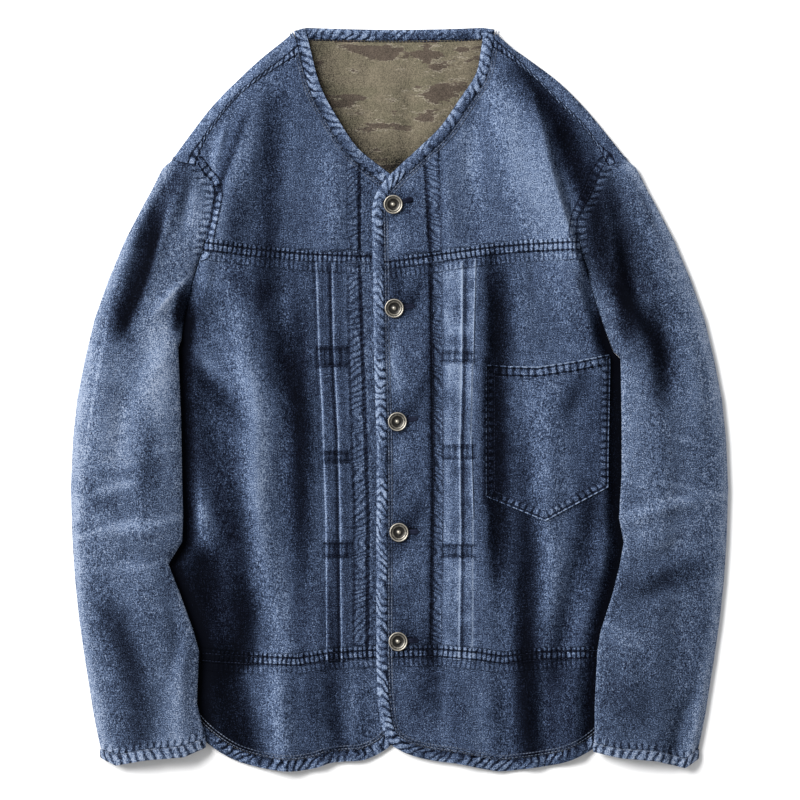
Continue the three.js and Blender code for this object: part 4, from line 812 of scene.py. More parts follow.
    def area_tone(self, x: Array, y: Array, hem: Array) -> Array:
        """Tone of whole areas: the hem band, the yoke, the painted shade beside the sleeve and a painted shadow along
        the pocket's sides.
        """
        side, at, look = self.side, np.abs(x), FRONT_LOOK[self.side]
        tone = hem * (0.10 * CRUMPLE[0](x / 9, y / 60) - look.hem)
        # Painted shadow that the sleeve casts on the front beside it.
        beside_sleeve = sleeve_inner(side, np.minimum(y, UNDERARM_Y)) - at
        shade = 0.85 * bell(np.maximum(beside_sleeve - 2, 0) / 8) + 0.22 * bell(beside_sleeve / 24)
        tone = tone - shade * smooth((118 - y) / 50) + look.yoke * smooth((y - y_at(SEAMS[side].yoke, x)) / 4)
        if side is Side.LEFT:
            return tone + hem * (0.22 * bell((at - 150) / 22) + 0.10 * bell((at - 62) / 16))
        # Painted shadow along the pocket's sides.
        rim = np.abs(np.abs(x - 141) - 59.5) * (np.abs(y + 30) < 80) + 50 * (np.abs(y + 30) >= 70)
        return tone - 0.34 * bell(rim / 3.0)

    def strip_tone(self, x: Array, y: Array, hem: Array) -> Array:
        """Tone of the front strip: a little darker, with painted shade round the buttons, a painted sheen below each
        of them, a dark buttonhole beside it, and at its stitching a pale line, partly worn and partly painted
        highlight, and a dark line of painted shade."""
        past = self.side.value * (x - x_at(STRIP[self.side].stitch, y))
        strip = 1 - smooth((past + 3) / 5)
        tone = -0.07 * strip * ~hem
        for bx, by in BUTTONS if self.side is Side.RIGHT else ():
            apart = np.hypot(x - bx - 6, (y - by - 3) * 1.2)
            sheen = bell((x - bx - 2) / 10) * bell((y - by + 34 - 0.8 * (x - bx)) / 16)
            bar = bell((y - by - 2.5) / 1.5) * smooth((x - bx - 7) / 2) * smooth((bx + 19 - x) / 2)
            # Painted sheen below each button, painted shade round it, and the dark buttonhole bar.
            tone = tone + strip * (0.17 * sheen - 0.24 * bell(apart / 13) - 0.7 * bar)
        # Pale line, partly worn and partly painted highlight, and painted shade in the groove at the stitching.
        return tone + (0.34 * bell((past + 1.1) / 0.9) - 0.5 * bell((past - 1.2) / 1.3)) * ~hem

    def tuck_tone(self, x: Array, y: Array, between: Array) -> Array:
        """Tone of the tucks: worn folded edges with a darker band inside them and painted shadow beside them, blotchy
        tops, and the tacks' dark bars.
        """
        strip, at = STRIP[self.side], np.abs(x)
        start, inner, outer = (np.abs(x_at(rows, y)) for rows in (strip.outer, strip.inner_tuck, strip.outer_tuck))
        tone = np.zeros(x.shape)
        for edge, shadow_strength in ((outer, 0.22), (inner, 0.62)):
            # Each folded edge is worn pale, with painted shadow just outside it.
            worn, edge_shadow = bell((at - edge + 0.2) / 0.75), bell((at - edge - 2.2) / 1.8)
            tone += between * (0.70 * worn - shadow_strength * edge_shadow - 0.16 * bell((at - edge + 6) / 3.5))
        if self.side is Side.RIGHT:
            top = smooth((at - start) / 3) * smooth((outer - at) / 1.5)
            tone += between * top * (0.15 + 0.22 * CRUMPLE[2](x / 19, y / 11))
        for top, bottom in TACKS[self.side]:
            bar = 0.5 * smooth((top - y) / 1.5 + 0.5) * smooth((y - bottom) / 1.5 + 0.5) * (1 + pucker(x * 1.3))
            bar = bar + 0.9 * (bell((y - top + 1.5) / 1.7) + bell((y - bottom - 1.5) / 1.7))
            tone -= self.tack_depth * bar * smooth((at - start + 1) / 1.5) * smooth((outer + 4 - at) / 1.5)
        return tone

    def tone(self, x: Array, y: Array) -> Array:
        """How pale the denim is, from 0 raw to 1 pale: ridges paler and troughs darker, partly wear and partly painted
        shade, paler and darker places, partly wear and partly painted light and shade, the areas' own tones, the
        strip's and the tucks', less a little in puckered bands."""
        seams = SEAMS[self.side]
        hem = y < y_at(seams.waist, x)
        between = (y < y_at(seams.yoke, x)) & ~hem
        # Fold ridges paler and troughs darker, and the listed places: partly wear, partly painted light and shade.
        worn = 0.011 * folds_at(FRONT_FOLDS[self.side], x, y) + folds_at(FRONT_WEAR_AND_SHADING[self.side], x, y)
        areas = self.area_tone(x, y, hem) + self.strip_tone(x, y, hem) + self.tuck_tone(x, y, between)
        return FRONT_LOOK[self.side].base + worn + 0.035 * crumple(x, y) + areas - 0.12 * self.rope(x, y)[0]


@dataclass(frozen=True)
class Wear:
    """What a denim piece's material reads at each point: how pale it is, from wear and from painted light and shade,
    the strength of its puckered bands, the millimetres run along them, and the place across them, with rows of sewing
    at ROW_PLACES."""

    tone: Array
    band: Array
    run: Array
    across: Array

    @classmethod
    def plain(cls, tone: Array) -> "Wear":
        """Wear without any band."""
        return cls(tone, 0 * tone, 0 * tone, 0 * tone - 9)


def add_object(name: str, data: bpy.types.ID) -> bpy.types.Object:
    """A new object in the scene."""
    thing = bpy.data.objects.new(name, data)
    bpy.context.scene.collection.objects.link(thing)
    return thing


class Grids:
    """Grids of points, the closed walls made between them, and meshes."""

    @staticmethod
    def loose(name: str, points: Array, faces: list[tuple[int, ...]]) -> bpy.types.Object:
        """A smooth mesh object from points in millimetres and faces of any number of corners."""
        mesh = bpy.data.meshes.new(name)
        mesh.from_pydata((points.reshape(-1, 3) * MM).tolist(), [], faces)
        mesh.polygons.foreach_set("use_smooth", np.ones(len(mesh.polygons), bool))
        return add_object(name, mesh)

    @staticmethod
    def patch(top: Array, bottom: Array, inner: Array, outer: Array, u: Array, v: Array) -> Array:
        """Points between four boundary lines: both pairs blended, less the blend of the corners.

        Args:
            top: points of the top line at each u.
            bottom: points of the bottom line at each u.
            inner: points of the inner line at each v.
            outer: points of the outer line at each v.
            u: shares of the way from inner to outer.
            v: shares of the way from top to bottom.

        Returns:
            Points by row and column.
        """
        u, v = u[None, :, None], v[:, None, None]
        corners = lerp(lerp(top[0], top[-1], u), lerp(bottom[0], bottom[-1], u), v)
        return lerp(top[None], bottom[None], v) + lerp(inner[:, None], outer[:, None], u) - corners

    @staticmethod
    def faces(rows: int, columns: int) -> Array:
        """Four-cornered faces of a closed wall: two layers of rows by columns points, and the rim between them."""
        at = np.arange(2 * rows * columns).reshape(2, rows, columns)
        a, b = at[0], at[1]
        front = np.stack([a[:-1, :-1], a[:-1, 1:], a[1:, 1:], a[1:, :-1]], -1).reshape(-1, 4)
        back = np.stack([b[:-1, :-1], b[1:, :-1], b[1:, 1:], b[:-1, 1:]], -1).reshape(-1, 4)
        ring = lambda layer: np.concatenate([layer[0, :-1], layer[:-1, -1], layer[-1, :0:-1], layer[:0:-1, 0]])
        r, s = ring(a), ring(b)
        rim = np.stack([r, s, np.roll(s, -1), np.roll(r, -1)], -1)
        return np.concatenate([front, back, rim])

    @staticmethod
    def mesh(name: str, points: Array, faces: Array, attributes: dict[str, Array]) -> bpy.types.Object:
        """A mesh object from points and four-cornered faces.

        Args:
            name: the piece's name.
            points: corners in millimetres.
            faces: indices of each face's corners, all turned one way.
            attributes: numbers for each point, by name.

        Returns:
            The object, with its faces outwards, smooth but for sharp edges.
        """
        a, b, c, d = (points[faces[:, k]] for k in range(4))
        volume = (np.cross(a, b) * c).sum() + (np.cross(a, c) * d).sum()
        faces = faces if volume > 0 else faces[:, ::-1]
        mesh = bpy.data.meshes.new(name)
        mesh.vertices.add(len(points))
        mesh.vertices.foreach_set("co", (points * MM).astype(np.float32).ravel())
        mesh.loops.add(faces.size)
        mesh.loops.foreach_set("vertex_index", faces.astype(np.int32).ravel())
        mesh.polygons.add(len(faces))
        mesh.polygons.foreach_set("loop_start", np.arange(0, faces.size, 4, dtype=np.int32))
        mesh.update(calc_edges=True)
        mesh.polygons.foreach_set("use_smooth", np.ones(len(faces), bool))
        for key, values in attributes.items():
            layer = mesh.attributes.new(key, "FLOAT", "POINT")
            layer.data.foreach_set("value", np.asarray(values, np.float32).ravel())
        mesh.set_sharp_from_angle(angle=math.radians(55))
        return add_object(name, mesh)

    @classmethod
    def wall(cls, node: str, outer: Array, inner: Array, wear: Wear) -> bpy.types.Object:
        """A closed wall between two grids of points that have the same rows and columns.

        Args:
            node: the solid that it stands for.
            outer: points of the face that shows.
            inner: points of the other face.
            wear: what its material reads at each point.

        Returns:
            The object.
        """
        points = np.concatenate([outer.reshape(-1, 3), inner.reshape(-1, 3)])
        twice = lambda values: np.tile(np.broadcast_to(values, outer.shape[:2]).ravel(), 2)
        attributes = {key: twice(values) for key, values in vars(wear).items()}
        return cls.mesh(f"{node}_cloth", points, cls.faces(*outer.shape[:2]), attributes)


@dataclass(frozen=True)
class Stitching:
    """Rows of sewing: each stitch is a low, tapered dash that lies along its row."""

    length: float = 2.9
    pitch: float = 3.3
    width: float = 1.0
    rise: float = 0.42

    def dashes(self, line: Array) -> Array:
        """Corners of the dashes along one row.

        Args:
            line: the row's points on the cloth.

        Returns:
            Twelve corners of each dash, three at each of four places along it.
        """
        place = runs(line)
        count = max(int(place[-1] / self.pitch), 1)
        start = (np.arange(count) + 0.15) * self.pitch
        at = lambda s: np.stack([np.interp(s, place, line[:, k]) for k in range(3)], -1)
        a, b = at(start), at(np.minimum(start + self.length, place[-1]))
        along = b - a
        along /= np.maximum(np.linalg.norm(along, axis=1, keepdims=True), 1e-6)
        across = np.cross([0.0, 0.0, 1.0], along)
        across /= np.maximum(np.linalg.norm(across, axis=1, keepdims=True), 1e-6)
        up = np.cross(along, across)
        corners = []
        for share, size, lift in ((0.0, 0.5, -0.25), (0.3, 1.0, 0.0), (0.7, 1.0, 0.0), (1.0, 0.5, -0.25)):
            middle = a + (b - a) * share + up * (lift * self.rise)
            wide, high = across * self.width * size / 2, up * self.rise
            corners += [middle - wide - 0.4 * high, middle + high * size * 0.6, middle + wide - 0.4 * high]
        return np.stack(corners, 1)

    def build(self, name: str, rows: list[Array]) -> bpy.types.Object:
        """One object with the dashes of several rows.

        Args:
            name: the object's name.
            rows: the rows' points on the cloth.

        Returns:
            The object.
        """
        corners = np.concatenate([self.dashes(row) for row in rows])
        sides = [
            (3 * k + i, 3 * k + (i + 1) % 3, 3 * k + 3 + (i + 1) % 3, 3 * k + 3 + i)
            for k in range(3) for i in range(3)
        ]
        base = (np.arange(len(corners)) * 12)[:, None, None]
        quads = (base + np.array(sides)[None]).reshape(-1, 4)
        caps = (base + np.array([(0, 2, 1), (9, 10, 11)])[None]).reshape(-1, 3)
        return Grids.loose(name, corners, quads[:, ::-1].tolist() + caps[:, ::-1].tolist())


SEWING = Stitching()


@dataclass
class NodeGraph:
    """Small helper that adds and joins shader nodes in one tree."""

    tree: bpy.types.NodeTree

    def add(self, kind: str, **values: object) -> bpy.types.Node:
        """A new node with its properties set."""
        node = self.tree.nodes.new(kind)
        for key, value in values.items():
            setattr(node, key, value)
        return node

    def feed(self, node: bpy.types.Node, inputs: dict[str | int, object]) -> bpy.types.NodeOutputs:
        """Sets a node's inputs, each from a socket or a plain value.

        Args:
            node: the node.
            inputs: values by the input's name or number.

        Returns:
            The node's outputs.
        """
        for key, value in inputs.items():
            if isinstance(value, bpy.types.NodeSocket):
                self.tree.links.new(value, node.inputs[key])
            else:
                node.inputs[key].default_value = value
        return node.outputs

    def math(self, operation: str, *terms: bpy.types.NodeSocket | float) -> bpy.types.NodeSocket:
        """A Math node's output; each term is a socket or a number."""
        return self.feed(self.add("ShaderNodeMath", operation=operation), dict(enumerate(terms)))[0]

    def noise(self, vector: bpy.types.NodeSocket, stretch: tuple[float, float, float], detail: float = 2.0,
              rough: float = 0.55, scale: float = 1.0) -> bpy.types.NodeSocket:
        """A noise value from 0 to 1 over coordinates stretched by so many metres."""
        mapping = self.add("ShaderNodeMapping", vector_type="TEXTURE")
        place = self.feed(mapping, {"Scale": stretch, "Vector": vector})[0]
        noise = self.add("ShaderNodeTexNoise", noise_dimensions="3D")
        return self.feed(noise, {"Scale": scale, "Detail": detail, "Roughness": rough, "Vector": place})["Fac"]

    def ramp(self, value: bpy.types.NodeSocket, stops: tuple[tuple[float, Colour], ...]) -> bpy.types.NodeSocket:
        """Colours blended between stops (place, colour)."""
        node = self.add("ShaderNodeValToRGB")
        elements = node.color_ramp.elements
        while len(elements) < len(stops):
            elements.new(0.5)
        for element, (place, colour) in zip(elements, stops):
            element.position = place
            element.color = (*colour, 1.0)
        return self.feed(node, {0: value})["Color"]

    def mask(self, value: bpy.types.NodeSocket, *stops: tuple[float, float]) -> bpy.types.NodeSocket:
        """A share from 0 to 1 blended between stops (place, share)."""
        return self.ramp(value, tuple((place, (share,) * 3) for place, share in stops))

    def read(self, name: str) -> bpy.types.NodeSocket:
        """A piece's own number at each point."""
        return self.add("ShaderNodeAttribute", attribute_name=name).outputs["Fac"]

    def bump(self, height: bpy.types.NodeSocket, strength: float, distance: float) -> bpy.types.NodeSocket:
        """The normal bent by a height."""
        return self.feed(self.add("ShaderNodeBump"), {"Strength": strength, "Distance": distance, "Height": height})[0]


class Groups:
    """Shader node groups that several materials use, each made once."""

    @staticmethod
    def start(name: str, inputs: tuple[str, ...], outputs: tuple[str, ...]) -> NodeGraph:
        """An empty group with an input Vector and named numbers in and out."""
        tree = bpy.data.node_groups.new(name, "ShaderNodeTree")
        tree.interface.new_socket(name="Vector", in_out="INPUT", socket_type="NodeSocketVector")
        for way, labels in (("INPUT", inputs), ("OUTPUT", outputs)):
            for label in labels:
                tree.interface.new_socket(name=label, in_out=way, socket_type="NodeSocketFloat")
        return NodeGraph(tree)

    @classmethod
    def weave(cls) -> bpy.types.NodeTree:
        """Twill weave: uneven warp threads, slubs, specks and the diagonal rib, as a tone and a height."""
        if "Weave" in bpy.data.node_groups:
            return bpy.data.node_groups["Weave"]
        graph = cls.start("Weave", ("Slub", "Rib pitch"), ("Tone", "Height"))
        enter = graph.add("NodeGroupInput").outputs
        vector = enter["Vector"]
        warp = graph.noise(vector, (0.0010, 0.007, 0.02), 2.0, 0.6)
        weft = graph.noise(vector, (0.006, 0.0010, 0.02), 1.0, 0.5)
        speck = graph.noise(vector, (0.0008, 0.0011, 0.01), 1.0, 0.6)
        mottle = graph.noise(vector, (0.008, 0.015, 0.02), 3.0, 0.6)
        split = graph.feed(graph.add("ShaderNodeSeparateXYZ"), {0: vector})
        slant = graph.math("ADD", split["X"], graph.math("MULTIPLY", split["Y"], 0.8))
        turn = graph.math("DIVIDE", graph.math("MULTIPLY", slant, 2 * math.pi / MM), enter["Rib pitch"])
        rib = graph.math("SINE", turn)
        parts = ((warp, 0.34), (weft, 0.2), (speck, 1.1), (mottle, 0.16))
        total: bpy.types.NodeSocket | float = -0.5 * sum(weight for _, weight in parts)
        for value, weight in parts:
            total = graph.math("MULTIPLY_ADD", value, weight, total)
        height = graph.math("MULTIPLY_ADD", rib, 0.16, graph.math("MULTIPLY_ADD", warp, 0.8, speck))
        tone = graph.math("MULTIPLY", total, enter["Slub"])
        graph.feed(graph.add("NodeGroupOutput"), {"Tone": tone, "Height": height})
        return graph.tree

    @classmethod
    def roping(cls) -> bpy.types.NodeTree:
        """Puckered seams: a wave over the run along the seam, broken by noise, times the band's strength."""
        if "Roping" in bpy.data.node_groups:
            return bpy.data.node_groups["Roping"]
        graph = cls.start("Roping", ("Band", "Run", "Across"), ("Wear", "Height"))
        enter = graph.add("NodeGroupInput").outputs
        drift = graph.noise(enter["Vector"], (0.009, 0.009, 0.009))
        blotch = graph.noise(enter["Vector"], (0.0032, 0.0032, 0.01), 2.0, 0.6)
        turn = graph.math("MULTIPLY_ADD", enter["Run"], 2 * math.pi / PUCKER, graph.math("MULTIPLY", drift, 5.0))
        wave = graph.math("SINE", turn)
        gap = graph.math("POWER", graph.math("MULTIPLY_ADD", wave, 0.5, 0.5), 2.4)
        rough = graph.math("MULTIPLY_ADD", gap, -1.9, graph.math("MULTIPLY_ADD", blotch, 2.4, -0.35))
        wear = graph.math("MULTIPLY", rough, enter["Band"])
        for place in ROW_PLACES:
            off = graph.math("ABSOLUTE", graph.math("SUBTRACT", enter["Across"], place))
            groove = graph.math("SMOOTH_MIN", graph.math("MULTIPLY_ADD", off, 1.7, -2.3), 0.0, 0.3)
            wear = graph.math("ADD", wear, graph.math("MULTIPLY", groove, enter["Band"]))
        graph.feed(graph.add("NodeGroupOutput"), {"Wear": wear, "Height": wear})
        return graph.tree


@dataclass(frozen=True)
class BaseFinish:
    """A finish whose material is made once, with the record's slot that it is for."""

    name: str

    SLOT = Finish.DENIM

    def material(self) -> bpy.types.Material:
        """The material, made once."""
        made = bpy.data.materials.get(self.name)
        if made is None:
            made = bpy.data.materials.new(self.name)
            made.use_nodes = True
            graph = NodeGraph(made.node_tree)
            place = graph.add("ShaderNodeTexCoord").outputs["Object"]
            graph.feed(made.node_tree.nodes["Principled BSDF"], self.inputs(graph, place))
        return made


@dataclass(frozen=True)
class ClothFinish(BaseFinish):
    """A cloth's material: colours at values of wear and painted light and shade from raw to pale, contrast of the
    weave and of the puckers, gloss, and pitch of the twill's rib in millimetres."""

    colours: tuple[tuple[float, Colour], ...]
    slub: float
    rope: float
    rough: float
    rib: float

    def inputs(self, graph: NodeGraph, place: bpy.types.NodeSocket) -> dict[str, object]:
        """What the shader is fed with: the ramp of colours over the wear and painted light and shade, and the bump of
        weave and puckers.
        """
        weave = graph.feed(graph.add("ShaderNodeGroup", node_tree=Groups.weave()),
                           {"Vector": place, "Slub": self.slub, "Rib pitch": self.rib})
        bands = {"Band": graph.read("band"), "Run": graph.read("run"), "Across": graph.read("across")}
        roping = graph.feed(graph.add("ShaderNodeGroup", node_tree=Groups.roping()), {"Vector": place, **bands})
        worn = graph.math("ADD", graph.read("tone"), weave["Tone"])
        worn = graph.math("MULTIPLY_ADD", roping["Wear"], self.rope, worn)
        rawest, palest = self.colours[0][0], self.colours[-1][0]
        worn = graph.math("DIVIDE", graph.math("SUBTRACT", worn, rawest), palest - rawest)
        stops = tuple(((at - rawest) / (palest - rawest), colour) for at, colour in self.colours)
        height = graph.math("MULTIPLY_ADD", roping["Height"], 1.2, weave["Height"])
        return {"Base Color": graph.ramp(worn, stops), "Roughness": self.rough, "Specular IOR Level": 0.03,
                "Normal": graph.bump(height, 0.6, 0.0004)}


@dataclass(frozen=True)
class PrintFinish(BaseFinish):
    """The printed lining: ragged brown patches with pale rims, drawn out across an olive ground."""

    name: str = "printed lining"
    ground: Colour = (0.132, 0.113, 0.080)
    brown: Colour = (0.062, 0.046, 0.037)
    pale: Colour = (0.27, 0.24, 0.19)
    olive: Colour = (0.108, 0.096, 0.065)

    SLOT = Finish.LINING

    def inputs(self, graph: NodeGraph, place: bpy.types.NodeSocket) -> dict[str, object]:
        """What the shader is fed with: the print, shaded by the piece's tone and the weave, and the weave's bump."""
        patches = graph.noise(place, (0.066, 0.021, 0.05), 5.0, 0.68)
        drift = graph.noise(place, (0.06, 0.03, 0.05), 3.0, 0.6, 1.4)
        streaks = graph.noise(place, (0.016, 0.0045, 0.02), 2.0, 0.6)
        rim = graph.mask(patches, (0.535, 0), (0.545, 1), (0.56, 1), (0.566, 0))
        rim = graph.math("MULTIPLY", rim, graph.mask(streaks, (0.46, 0), (0.54, 1)))
        inside = graph.mask(patches, (0.557, 0), (0.566, 1))
        colour = graph.ramp(drift, ((0.44, self.ground), (0.60, self.olive)))
        for mask, paint, share in ((rim, self.pale, 0.6), (inside, self.brown, 0.85)):
            mix = graph.add("ShaderNodeMix", data_type="RGBA")
            factor = graph.math("MULTIPLY", mask, share)
            colour = graph.feed(mix, {"Factor": factor, "A": colour, "B": (*paint, 1.0)})["Result"]
        weave = graph.feed(graph.add("ShaderNodeGroup", node_tree=Groups.weave()),
                           {"Vector": place, "Slub": 1.0, "Rib pitch": 0.8})
        bright = graph.math("MULTIPLY_ADD", weave["Tone"], 1.9, graph.read("tone"))
        scaled = graph.feed(graph.add("ShaderNodeVectorMath", operation="SCALE"), {0: colour, "Scale": bright})
        return {"Base Color": scaled[0], "Roughness": 0.9, "Specular IOR Level": 0.2,
                "Normal": graph.bump(weave["Height"], 0.4, 0.0003)}


@dataclass(frozen=True)
class MetalFinish(BaseFinish):
    """Aged dull metal of the buttons: pale on the rim and the stud, dark in the dish."""

    name: str = "aged metal"
    bright: Colour = (0.36, 0.335, 0.285)
    dark: Colour = (0.018, 0.017, 0.016)

    SLOT = Finish.METAL

    def inputs(self, graph: NodeGraph, place: bpy.types.NodeSocket) -> dict[str, object]:
        """What the shader is fed with: the button's brightness, and a gloss broken by grime."""
        grime = graph.noise(place, (0.002, 0.002, 0.002), 3.0, 0.6)
        level = graph.math("MULTIPLY_ADD", graph.math("ADD", grime, -0.5), 0.8, graph.read("tone"))
        return {"Metallic": 0.85, "Base Color": graph.ramp(level, ((0.1, self.dark), (0.85, self.bright))),
                "Roughness": graph.math("MULTIPLY_ADD", grime, 0.3, 0.28)}


@dataclass(frozen=True)
class ThreadFinish(BaseFinish):
    """Sewing thread, uneven between a dark and a light colour."""

    name: str = "navy thread"
    dark: Colour = (0.004, 0.006, 0.014)
    light: Colour = (0.022, 0.029, 0.054)

    def inputs(self, graph: NodeGraph, place: bpy.types.NodeSocket) -> dict[str, object]:
        """What the shader is fed with: the two colours, mixed by a slow noise."""
        wear = graph.noise(place, (0.012, 0.012, 0.012), 2.0, 0.6)
        return {"Base Color": graph.ramp(wear, ((0.35, self.dark), (0.7, self.light))), "Roughness": 0.9,
                "Specular IOR Level": 0.05}


DENIM = ClothFinish(
    name="washed denim",
    colours=(
        (-0.5, (0.0010, 0.0014, 0.0032)),
        (-0.1, (0.0050, 0.0075, 0.0165)),
        (0.15, (0.0152, 0.0222, 0.0415)),
        (0.35, (0.0310, 0.0462, 0.0850)),
        (0.5, (0.052, 0.077, 0.139)),
        (0.75, (0.114, 0.159, 0.258)),
        (1.0, (0.25, 0.31, 0.42)),
    ),
    slub=2.05,
    rope=0.40,
    rough=0.88,
    rib=1.25,
)
SLEEVE_DENIM = replace(DENIM, name="rubbed denim", colours=(
    (-0.5, (0.0010, 0.0014, 0.0032)),
    (-0.1, (0.0054, 0.0077, 0.0160)),
    (0.15, (0.0160, 0.0230, 0.0415)),
    (0.35, (0.0325, 0.0475, 0.0845)),
    (0.5, (0.055, 0.080, 0.138)),
    (0.75, (0.121, 0.165, 0.257)),
    (1.0, (0.27, 0.315, 0.405)),
))
PRINT = PrintFinish()
METAL = MetalFinish()
THREAD = ThreadFinish()
PALE_THREAD = ThreadFinish("pale thread", (0.045, 0.060, 0.098), (0.165, 0.195, 0.260))
BUTTONHOLE = ThreadFinish("buttonhole thread", (0.003, 0.004, 0.010), (0.014, 0.017, 0.034))


@dataclass(frozen=True)
class Cut:
    """The flat cloth of a piece as it shows: width and length in metres, and area in square metres."""

    width: float
    length: float
    area: float | None = None


def half_area(thing: bpy.types.Object) -> float:
    """Half the surface of a closed piece, in square metres."""
    mesh = thing.data
    areas = np.empty(len(mesh.polygons), np.float32)
    mesh.polygons.foreach_get("area", areas)
    return float(areas.sum()) / 2


def settle(thing: bpy.types.Object, finish: BaseFinish, node: str = "") -> bpy.types.Object:
    """Gives a piece its material and body, and hides the solid that it stands for.

    Args:
        thing: the piece.
        finish: its finish.
        node: the solid that it stands for, if any.

    Returns:
        The piece.
    """
    thing.data.materials.append(finish.material())
    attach(thing, "root")
    if node:
        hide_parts(node)
    LOG.info("%s: %d faces", thing.name, len(thing.data.polygons))
    return thing


def dress(thing: bpy.types.Object, node: str, finish: BaseFinish, cut: Cut, sewing: list[Array],
          rests_on: tuple[str, ...] = (), thread: ThreadFinish = THREAD) -> None:
    """Gives a cloth piece its finish, its place in the frame and its rows of sewing, and logs its area and cut.

    Args:
        thing: the piece.
        node: the solid that it stands for.
        finish: its finish.
        cut: its flat size.
        sewing: rows of sewing on it.
        rests_on: what it lies on; not used.
        thread: the sewing's finish.
    """
    settle(thing, finish, node)
    along = [settle(SEWING.build(f"{node}_sewing", sewing), thread)] if sewing else []
    LOG.info("%s: %.4f m2, %s", thing.name, half_area(thing), cut)


def through(marks: Array, steps: tuple[int, ...]) -> Array:
    """Columns in equal steps from each column of marks to the next.

    Args:
        marks: the marks, by row and mark.
        steps: steps between each mark and the next.

    Returns:
        Values by row and column.
    """
    parts = [lerp(marks[:, k, None], marks[:, k + 1, None], np.linspace(0, 1, n + 1)[min(k, 1):])
             for k, n in enumerate(steps)]
    return np.concatenate(parts, 1)


@dataclass
class Front:
    """One front: its yoke, its lower panel with the tucks, its hem band and its bound edge."""

    shape: FrontShape
    yoke_cut: Cut
    body_cut: Cut
    hem_cut: Cut
    edge_cut: Cut

    # Steps across between the marks of each row, and down above, beside and below the pocket.
    ACROSS = (17, 8, 8, 1, 8, 1, 3, 58, 12)
    DOWN = (46, 62, 74)

    @property
    def side(self) -> Side:
        """The front's side."""
        return self.shape.side

    def body_grid(self) -> Array:
        """X and Y of the lower panel's points: columns along the strip, the tucks and the pocket, and rows through
        the pocket's top and bottom."""
        shape, seams, strip, sign = self.shape, SEAMS[self.side], STRIP[self.side], self.side.value
        top, waist = shape.within(shape.levels["yoke"])[1], shape.within(shape.levels["waist"])[1]
        t = shape.edge_at(through(np.array([[top, POCKET_TOP[0][1], POCKET_BOTTOM[0][1], waist]]), self.DOWN)[0])
        t[0], t[-1] = shape.levels["yoke"], shape.levels["waist"]
        start = shape.within(t)
        ends = np.array([[seams.side[0][1], POCKET_TOP[4][1], POCKET_BOTTOM[2][1], seams.waist[-1][1]]])
        side_x = x_at(seams.side, through(ends, self.DOWN)[0])
        y0 = start[:, 1]
        inner, outer = x_at(strip.inner_tuck, y0), x_at(strip.outer_tuck, y0)
        end = sign * lerp(POCKET_BOTTOM[2][0], POCKET_TOP[4][0], smooth((y0 + 83) / 126))
        end = np.where(np.abs(end) < np.abs(side_x) - 6, end, side_x - sign * 6)
        marks = np.stack([
            start[:, 0], x_at(strip.stitch, y0), x_at(strip.outer, y0), inner, inner + sign * TUCK_DROP, outer,
            outer + sign * TUCK_DROP, np.full_like(y0, sign * POCKET_TOP[0][0]), end, side_x,
        ], 1)
        x = through(marks, self.ACROSS)
        edge_top = y_at(seams.yoke, x) - SEAM_GAP / 2
        edge_low = y_at(seams.waist, x) + SEAM_GAP / 2
        on = np.clip(sign * x, POCKET_TOP[0][0], POCKET_TOP[4][0])
        y = np.empty_like(x)
        shares = [np.linspace(0, 1, n + 1) for n in self.DOWN]
        levels = [edge_top, y_at(POCKET_TOP, on), y_at(POCKET_BOTTOM, on), edge_low]
        first = 0
        for k, share in enumerate(shares):
            rows = slice(first, first + len(share))
            y[rows] = lerp(levels[k][rows], levels[k + 1][rows], share[:, None])
            first += len(share) - 1
        y[1:-1, 0] = y0[1:-1]
        return np.stack([x, y], -1)

    def lift(self, node: str, grid: Array, rows: list[Array], cut: Cut) -> None:
        """A panel's wall over its grid, with its wear, painted light and shade, and sewing.

        Args:
            node: the solid that it stands for.
            grid: X and Y by row and column.
            rows: rows of sewing in X and Y.
            cut: its flat size.
        """
        shape = self.shape
        x, y = grid[..., 0], grid[..., 1]
        outer = np.dstack([x, y, shape.surface(x, y)])
        inner = np.dstack([x, y, np.minimum(shape.under(x, y), outer[..., 2] - 0.6)])
        wear = Wear(shape.tone(x, y), *shape.rope(x, y))
        sewing = [np.column_stack([row, shape.surface(row[:, 0], row[:, 1])]) for row in rows]
        dress(Grids.wall(node, outer, inner, wear), node, DENIM, cut, sewing)

    def yoke(self) -> None:
        """The yoke: from the shoulder seam to the yoke seam, and from the neckline to the armhole."""
        shape, seams, levels = self.shape, SEAMS[self.side], self.shape.levels
        u, v = np.linspace(0, 1, 91), np.linspace(0, 1, 116)
        inner = shape.within(lerp(levels["shoulder"], levels["yoke"], v))
        line = Spline(np.array([inner[0], *seams.shoulder[1:]], float))
        top = line(u) - [0, SEAM_GAP / 2]
        end = seams.armhole[-1]
        x = lerp(inner[-1, 0], end[0], u)
        bottom = np.column_stack([x, y_at(seams.yoke, x) + SEAM_GAP / 2])
        y = lerp(line(1.0)[1], end[1], v)
        outer = np.column_stack([x_at(seams.armhole, y), y])
        grid = Grids.patch(top, bottom, inner, outer, u, v)
        sign, rows = self.side.value, []
        across = np.linspace(inner[-1, 0] + sign * 1.5, end[0] - sign * 1.5, 120)
        rows += [np.column_stack([across, y_at(seams.yoke, across) + gap]) for gap in ROW_PLACES]
        down = np.linspace(y_at(seams.yoke, sign * 35) + 11, 216 if sign < 0 else 222, 60)
        strip = x_at(STRIP[self.side].stitch, down)
        rows += [np.column_stack([strip + sign * gap, down]) for gap in ((0.3, 2.4) if sign < 0 else (1.4, 11.5))]
        arm = Spline(np.array(seams.armhole, float))
        rows += [beside(arm, np.linspace(0.03, 0.9, 60), sign * -gap) for gap in (2.0, 8.0)]
        self.lift(f"front_yoke_{self.side.label}", grid, rows, self.yoke_cut)

